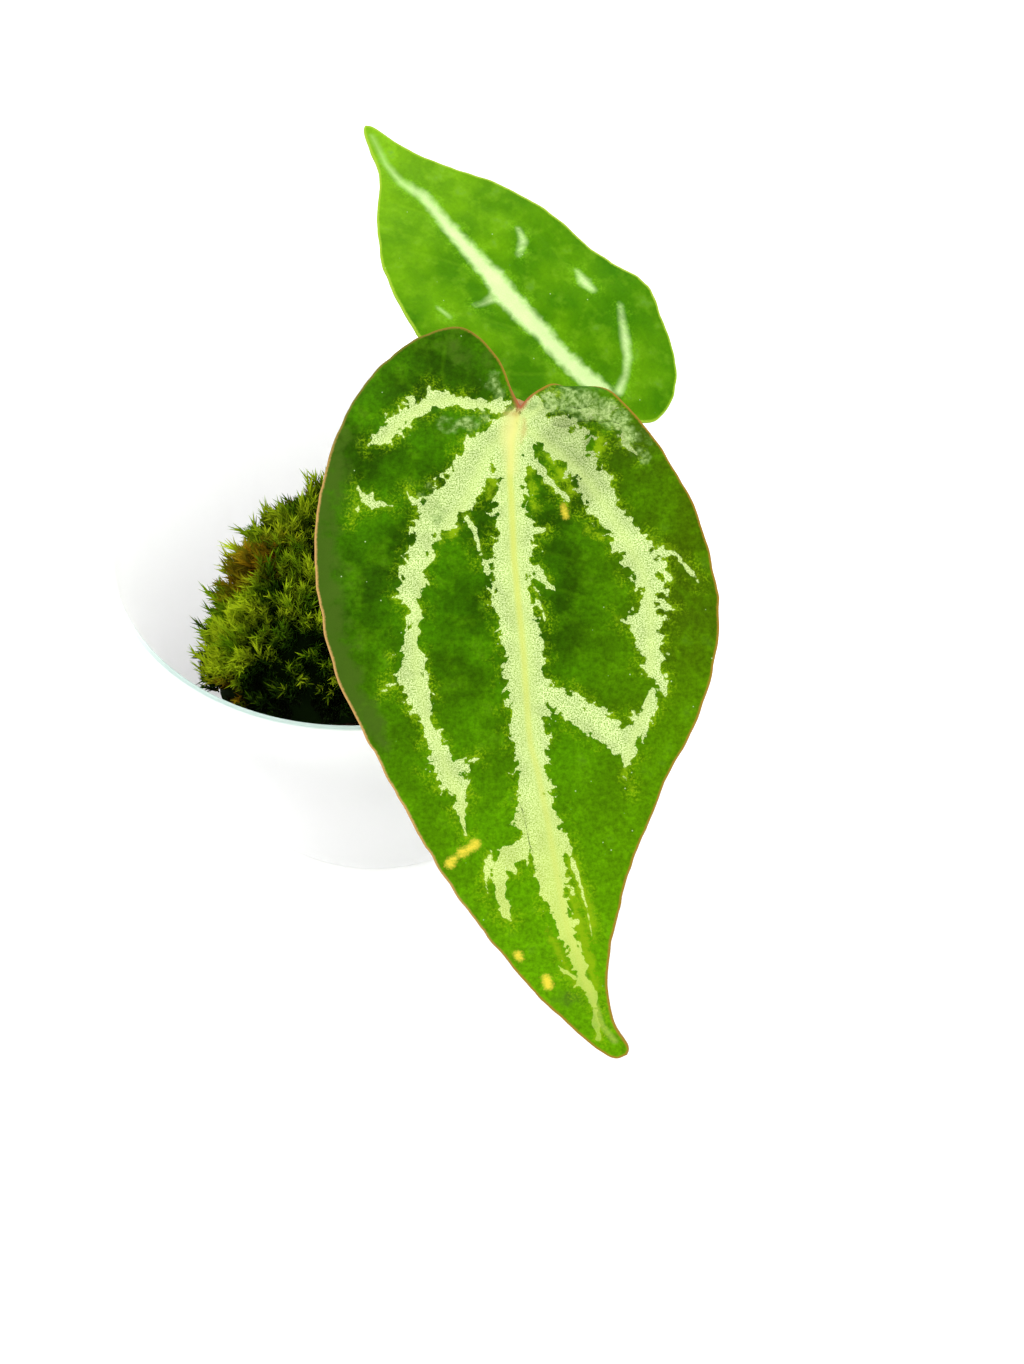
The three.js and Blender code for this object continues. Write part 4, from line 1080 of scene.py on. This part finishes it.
def leaf_material(name, colours, ragged, softness, midrib_line, fade, shaded):
    """Living leaf: a velvety green top with a grained silver zone, and a paler underside. ragged and
    softness are of the silver's border, fade is where along the blade the silver thins out and how
    much stays, and shaded is which side turns olive and how much."""
    material, tree = start_material(
        name, Roughness=0.6, IOR=1.4, Specular_IOR_Level=0.1, Specular_Tint=(1.0, 1.0, 0.15, 1.0))
    read = {
        key: add_node(tree, "Attribute", attribute_name=key).outputs["Fac"]
        for key in (
            "silver", "silver_width", "haze", "bright", "spot", "cream", "stain", "crack", "midline",
            "vein", "fine_vein", "margin", "joint", "under", "painted_sheen")
    }
    flat = add_node(tree, "Attribute", attribute_name="flat").outputs["Vector"]
    across, along, _ = add_node(tree, "SeparateXYZ", {"Vector": flat}).outputs

    # Noises by the size of what they draw, from clouds 10 mm wide to the 0.22 mm grain, and cells:
    # the areoles between the finest veins, and dust.
    clouds, blotches, crease, wide, mottle, tight, grain = (
        add_node(tree, "TexNoise", {
            "Vector": flat, "Scale": 1 / size, "Detail": detail, "Roughness": rough,
        }).outputs["Fac"]
        for size, detail, rough in (
            (10, 2.0, 0.5), (4, 4.0, 0.55), (2.9, 1.0, 0.5), (2.2, 3.0, 0.55), (0.8, 4.0, 0.7),
            (0.4, 3.0, 0.7), (0.22, 2.0, 0.7))
    )
    areoles = add_node(tree, "TexVoronoi", {"Vector": flat, "Scale": 1 / AREOLE_SIZE}).outputs["Color"]
    areole = add_node(tree, "SeparateColor", {"Color": areoles}).outputs[0]
    motes = add_node(tree, "TexVoronoi", {"Vector": flat, "Scale": 1 / DUST_CELL}).outputs["Distance"]

    # The silver's border is ragged by noise, by spikes along the creases of another noise and by
    # whole areoles, and calmer on thin strokes.
    off_crease = add_node(tree, "Math", {0: crease, 1: 0.5}, operation="SUBTRACT").outputs[0]
    off_crease = add_node(tree, "Math", {0: off_crease}, operation="ABSOLUTE").outputs[0]
    teeth = add_node(tree, "MapRange", {
        "Value": off_crease, "From Min": 0.0, "From Max": 0.09, "To Min": -0.13, "To Max": 0.0,
    }).outputs[0]
    for noise, strength in ((areole, 0.05), (tight, 0.14), (wide, 0.75)):
        teeth = add_node(tree, "Math", {
            0: noise, 1: strength, 2: teeth,
        }, operation="MULTIPLY_ADD").outputs[0]
    teeth = add_node(tree, "Math", {0: teeth, 1: 0.415}, operation="SUBTRACT").outputs[0]
    calm = add_node(tree, "MapRange", {
        "Value": read["silver_width"], "From Min": 0.2, "From Max": 1.6,
        "To Min": 2 * ragged, "To Max": 13 * ragged,
    }).outputs[0]
    border = add_node(tree, "Math", {0: teeth, 1: calm, 2: read["silver"]}, operation="MULTIPLY_ADD")
    border = add_node(tree, "Math", {0: border.outputs[0], 1: 0.12}, operation="ADD").outputs[0]

    # How much of each thing shows: a number, the noises that stir it with their strengths, its value
    # where the thing is least and where it is most, and that most and least. Soft ones ease in and out.
    soft = {"painted_sheen", "silver", "veil", "line", "cream"}
    show = {}
    for key, (value, stirring, start, end, most, least) in {
        "mid": (clouds, (), 0.4, 0.62, 1, 0),
        "olive": (across, (), 6 * shaded, 26 * shaded, 0.6, 0),
        "to_tip": (along, (), 34, 90, 0.72, 0),
        "blotchy": (blotches, (), 0.5, 0.72, 0.34, 0),
        "mottled": (mottle, (), 0.34, 0.66, 1.27 - 0.22 * softness, 0.66 + 0.27 * softness),
        "painted_sheen": (read["painted_sheen"], ((blotches, 2.4),), 1.4, 2.1, 0.9, 0),
        "fine_vein": (read["fine_vein"], (), 0.5, 0, 0.14, 0),
        "silver": (border, (), softness, -softness, 1, 0),
        "near": (border, (), 2.4, 0.2, 1, 0),
        "fleck": (tight, (), 0.5, 0.58, 1, 0),
        "here": (blotches, (), 0.42, 0.58, 1, 0),
        "fringe": (border, (), 0.6, 0, 0.6, 0),
        "bright": (read["bright"], ((wide, 3), (tight, 3.5)), 3.7, 2.9, 0.8, 0),
        "grain": (grain, (), 0.4, 0.58, 1, 0),
        "drift": (blotches, (), 0.36, 0.64, 1.1, 0.84),
        "high": (along, (), 22, 8, 1, 0),
        "turned": (across, (), 1, 7, 0.32 * midrib_line, 0),
        "by_midrib": (read["midline"], (), 2.4, 0.6, 0.5, 0),
        "by_vein": (read["vein"], (), 1.4, 0, 0.45, 0),
        "yellow": (along, (), 56, 92, 0.75 * midrib_line, 0),
        "left_over": (along, (), *fade, 1),
        "veil": (read["haze"], ((wide, 7), (tight, 1.2)), 5.2, 2.8, 0.8, 0),
        "cells": (mottle, (), 0.42, 0.6, 1, 0),
        "unfaded": (along, (), 24, 84, 0.3 * midrib_line, 0.8 * midrib_line),
        "line": (read["midline"], (), 0.9, 0.1, 1, 0),
        "crack": (read["crack"], ((tight, 0.7),), 0.52, 0.36, 0.85, 0),
        "spot": (read["spot"], ((tight, 1.6),), 1.25, 0.45, 0.9, 0),
        "mote": (motes, (), 0.05, 0.03, 0.6, 0),
        "cream": (read["cream"], (), 1.7, -1.5, 0.9, 0),
        "stain": (read["stain"], ((wide, 1.6),), 1.2, 0.3, 0.5, 0),
        "rim": (read["margin"], ((tight, 0.5),), 0.74, 0.42, 1, 0),
        "right_rim": (across, (), -18, 0, 1, 0),
        "upper_rim": (along, (), 16, 2, 1, 0),
        "flush": (read["joint"], ((read["margin"], 4.5),), 5.6, 1.4, 0.85, 0),
    }.items():
        for noise, strength in stirring:
            value = add_node(tree, "Math", {
                0: noise, 1: strength, 2: value,
            }, operation="MULTIPLY_ADD").outputs[0]
        show[key] = add_node(tree, "MapRange", {
            "Value": value, "From Min": start, "From Max": end, "To Min": least, "To Max": most,
        }, interpolation_type="SMOOTHSTEP" if key in soft else "LINEAR").outputs[0]

    # What shows by two things at once, and flecks that crowd at the silver's border.
    lighter, flecked, line, shown, painted_lobe_shade = (
        add_node(tree, "Math", {0: show[first], 1: show[second]}, operation=operation).outputs[0]
        for first, second, operation in (
            ("to_tip", "blotchy", "ADD"), ("near", "fleck", "MULTIPLY"), ("line", "unfaded", "MULTIPLY"),
            ("silver", "left_over", "MULTIPLY"), ("high", "turned", "MULTIPLY"))
    )
    flecked = add_node(tree, "Math", {0: flecked, 1: show["fringe"]}, operation="MAXIMUM").outputs[0]
    flecked = add_node(tree, "Math", {0: flecked, 1: show["here"]}, operation="MULTIPLY").outputs[0]
    # Painted shade: the silver dims at the top of the right lobe, where it turns away from the light.
    drift = add_node(tree, "Math", {0: show["drift"], 1: painted_lobe_shade}, operation="SUBTRACT").outputs[0]

    # Greens: dark to mid in clouds, a painted olive shade at one side, bright towards the tip, all finely
    # mottled.
    green = colours["dark"]
    for amount, over in ((show["mid"], "mid"), (show["olive"], "olive"), (lighter, "bright")):
        green = add_node(tree, "Mix", {0: amount, 6: green, 7: colours[over]}, data_type="RGBA").outputs[2]
    green = add_node(tree, "VectorMath", {0: green, "Scale": show["mottled"]}, operation="SCALE").outputs[0]

    # Silver: light grains on a darker ground, with painted shade where the lobe turns away from the light,
    # warmer along the veins.
    silvered, veiled, below = (
        add_node(tree, "Mix", {0: amount, 6: under, 7: over}, data_type="RGBA").outputs[2]
        for amount, under, over in (
            (show["grain"], colours["silver_ground"], colours["silver"]),
            (show["cells"], "#56762a", "#a4be76"), (mottle, "#55802a", "#86a858"))
    )
    silvered = add_node(tree, "VectorMath", {0: silvered, "Scale": drift}, operation="SCALE").outputs[0]
    warm = colours["silver_warm"]
    for amount, over in ((show["by_midrib"], warm), (show["by_vein"], warm), (show["yellow"], "#b8cc4e")):
        silvered = add_node(tree, "Mix", {0: amount, 6: silvered, 7: over}, data_type="RGBA").outputs[2]
    rim_colour = colours["left_rim"]
    for amount, over in ((show["upper_rim"], "upper_rim"), (show["right_rim"], "right_rim")):
        rim_colour = add_node(tree, "Mix", {
            0: amount, 6: rim_colour, 7: colours[over],
        }, data_type="RGBA").outputs[2]

    # All of it in layers: painted sheen and veins on the green, the silver, the midrib's pale line, cracks,
    # blemishes, dust, the underside, the cream head of the midrib, the margin and the flushed joint.
    surface = green
    for amount, over in (
        (show["painted_sheen"], colours["painted_sheen"]), (show["fine_vein"], colours["bright"]),
        (flecked, colours["fleck"]), (show["bright"], colours["fleck"]), (shown, silvered),
        (show["veil"], veiled), (line, "#bcc45c"), (show["crack"], "#20300a"), (show["spot"], "#dcc83c"),
        (show["mote"], "#c4d8a4"), (read["under"], below), (show["cream"], "#d0ce80"),
        (show["stain"], "#a87c40"), (show["rim"], rim_colour), (show["flush"], colours["joint"]),
    ):
        surface = add_node(tree, "Mix", {0: amount, 6: surface, 7: over}, data_type="RGBA").outputs[2]
    relief = add_node(tree, "Math", {0: grain, 1: 0.5, 2: mottle}, operation="MULTIPLY_ADD").outputs[0]
    finish_material(tree, surface, relief, 0.35, 0.12)
    return material


velvet = leaf_material("velvety leaf, mature", {
    "dark": "#1d4200", "mid": "#346800", "bright": "#5c9800", "olive": "#456200", "painted_sheen": "#3a5614",
    "silver": "#d2e49e", "silver_ground": "#78963e", "silver_warm": "#b8cc78", "fleck": "#7c9e0a",
    "left_rim": "#b48e56", "upper_rim": "#6c6626", "right_rim": "#8e6e26", "joint": "#96503a",
}, ragged=0.5, softness=0.06, midrib_line=1, fade=(84, 102, 0.35), shaded=1)
hand_over(blade_front, velvet, "blade_front", 50)


# Back blade
# The younger, smaller leaf behind: thinner and a brighter green, with a softer silver band along
# its midrib. It rises to the back and left from its own stalk.

BACK_LEAF = {
    "seat": BLADE_SEATS["back"],
    "tip_slope": -8,
    "thickness": 0.5,
    "ribs": 170,
    "columns": 40,
    "midrib": [(0, 0), (1.6, 12), (2.6, 29), (1.8, 44), (1.7, 55), (0, 64), (-2.3, 70.6)],
    "left": [
        (0, 0), (-1.6, -2.6), (-5, -4.3), (-10.2, -2.7), (-15.4, 2.6), (-18, 9.6), (-19.5, 15.4),
        (-17.6, 24), (-16, 32), (-11.9, 45.8), (-6.6, 55), (-3.9, 63), (-3, 69.7), (-2.3, 70.6),
    ],
    "right": [
        (0, 0), (1.8, -2.8), (6, -5), (12.5, -3), (18.5, 4.5), (21.8, 14), (22, 26), (20.5, 34.5),
        (16.3, 45.2), (10, 53.6), (4, 59.8), (0.8, 66), (-1.4, 70), (-2.3, 70.6),
    ],
    "wave_height": 0.8,
    "waves": (3.5, 4),
    "curl": None,
}
BACK_SILVER = {
    "midrib": [
        (-1.5, 68, 0.6), (1, 61.5, 0.9), (1.8, 56.5, 1.2), (0.8, 52, 1.9), (1.2, 47.5, 2.1),
        (2, 42.5, 2.5), (2, 37, 2.9), (2, 33, 3.3), (2.8, 29, 4.2), (2.8, 24.5, 4), (2, 18.5, 3.3),
        (2, 14, 3.2), (1.5, 10, 3.4), (0.5, 5, 3.8),
    ],
    "feather_left": [(5, 29, 1.2), (7.5, 29, 0.3), (9, 29.5, 0)],
    "spot_high": [(-8, 37, 0.2), (-7, 34.5, 1), (-4.5, 33, 0.3)],
    "spot_mid": [(-11.5, 25, 0.3), (-11, 22.5, 1.8), (-11, 20.5, 0.8)],
    "basal": [
        (-13, 15.5, 0.3), (-11, 12.5, 0.8), (-9.5, 10, 1.4), (-8, 7.5, 1), (-5.5, 5, 0.7),
        (-2.5, 3.5, 1.25),
    ],
    "faint_left": [(15, 32.5, 0), (14.5, 30, 0.1)],
}
BACK_MIDLINE = {
    "midrib": [
        (0, 1), (1.4, 10), (2, 16), (2.6, 26), (2.2, 36), (1.4, 46), (1.8, 56), (0.6, 63), (-1.8, 69),
    ],
}
BACK_VEINS = {
    "left": [(0, 2), (-5, 4), (-10, 11), (-12, 22), (-10.5, 35), (-6, 47)],
    "right": [(0, 2), (6, 2), (12, 9), (15.5, 20), (14.5, 33), (9.5, 46)],
}
BACK_FINE_VEINS = {
    "a": [(2, 24), (-4, 30), (-9, 36)],
    "b": [(2, 18), (8, 25), (14, 31)],
    "c": [(2, 34), (-3, 41), (-7, 46)],
    "d": [(2, 33), (7, 39), (11, 44)],
    "e": [(2, 12), (-5, 17), (-11, 21)],
    "f": [(2, 10), (9, 14), (15, 18)],
    "g": [(1.4, 46), (-1.5, 52), (-3.5, 57)],
    "h": [(1.5, 46), (4.5, 51), (6.5, 55)],
}
# A mark that the young leaf doesn't have lies beyond its margin.
FAR_AWAY = {"far": [(90, 90), (91, 91)]}


def back_relief(flat, found):
    """Sunk veins and soft quilting, shallower than on the front blade."""
    spread = np.column_stack([flat, np.zeros(len(flat))])
    veins = rounded_line(found["midline"], 0.25, 1.1) + rounded_line(found["vein"], 0.12, 1)
    veins += rounded_line(found["fine_vein"], 0.08, 0.8)
    quilt = 0.22 * soft_noise(spread, 6, 31) + 0.06 * soft_noise(spread, 2.4, 32)
    return (quilt - veins) * np.clip(found["margin"] / 1.5, 0.1, 1)


# The young leaf has none of the marks of age.
back_marks = {
    "silver": BACK_SILVER, "midline": BACK_MIDLINE, "vein": BACK_VEINS, "fine_vein": BACK_FINE_VEINS,
}
for absent in ("gap", "haze", "bright", "spot", "cream", "stain", "crack"):
    back_marks[absent] = FAR_AWAY
blade_back = bend_blade("leaf_back", BACK_LEAF, back_marks, back_relief)
keep_number(blade_back, "painted_sheen", np.zeros(len(blade_back.data.vertices)))
young = leaf_material("velvety leaf, young", {
    "dark": "#3a7200", "mid": "#588e02", "bright": "#84b81c", "olive": "#2e6a02", "painted_sheen": "#4a7a3a",
    "silver": "#cee8a2", "silver_ground": "#bada8e", "silver_warm": "#c8e49a", "fleck": "#6cac14",
    "left_rim": "#9cb43c", "upper_rim": "#8cae2c", "right_rim": "#8cae2c", "joint": "#8a9a40",
}, ragged=0.14, softness=0.9, midrib_line=0, fade=(44, 66, 0.3), shaded=-0.7)
hand_over(blade_back, young, "blade_back", 50)


# Studio
# A plain white floor, white soft light from all round and one large soft lamp above. The camera
# stands in front of the plant and looks down on it.

# Light from all round, and the lamp's place and width in metres, its power in watts and its turn.
WORLD_STRENGTH = 1.45
LAMP_PLACE = (-0.5, 0.5, 1.0)
LAMP_WIDTH = 0.9
LAMP_POWER = 5
LAMP_TURN = (-28, -26, 0)
# The camera's place in millimetres, the angle that it looks down at, and its sensor and lens.
CAMERA_PLACE = (26.5, -244.5, 321.5)
LOOKS_DOWN = 51
SENSOR_WIDTH = 36
LENS = 52.79

select_only()
bpy.ops.mesh.primitive_plane_add(size=6, location=(0, 0, 0))
floor = bpy.context.object
floor.name = floor.data.name = "studio_floor"
paper, _ = start_material(
    "white studio paper", Roughness=0.9, Base_Color=paint("#fafafa"), Specular_IOR_Level=0.0)
floor.data.materials.append(paper)

world = bpy.data.worlds.new("white studio")
bpy.context.scene.world = world
world.use_nodes = True
world.node_tree.nodes["Background"].inputs["Color"].default_value = (1, 1, 1, 1)
world.node_tree.nodes["Background"].inputs["Strength"].default_value = WORLD_STRENGTH

bpy.ops.object.light_add(type="AREA", location=LAMP_PLACE)
lamp = bpy.context.object
lamp.data.shape = "DISK"
lamp.data.size = LAMP_WIDTH
lamp.data.energy = LAMP_POWER
lamp.rotation_euler = tuple(math.radians(turn) for turn in LAMP_TURN)

camera_data = bpy.data.cameras.new("camera")
camera_data.sensor_width = SENSOR_WIDTH
camera_data.lens = LENS
camera_data.clip_start = 0.01
camera = bpy.data.objects.new("camera", camera_data)
bpy.context.scene.collection.objects.link(camera)
camera.location = tuple(distance * MM for distance in CAMERA_PLACE)
camera.rotation_euler = (math.radians(90 - LOOKS_DOWN), 0, 0)
bpy.context.scene.camera = camera
bpy.context.scene.view_settings.view_transform = "Standard"
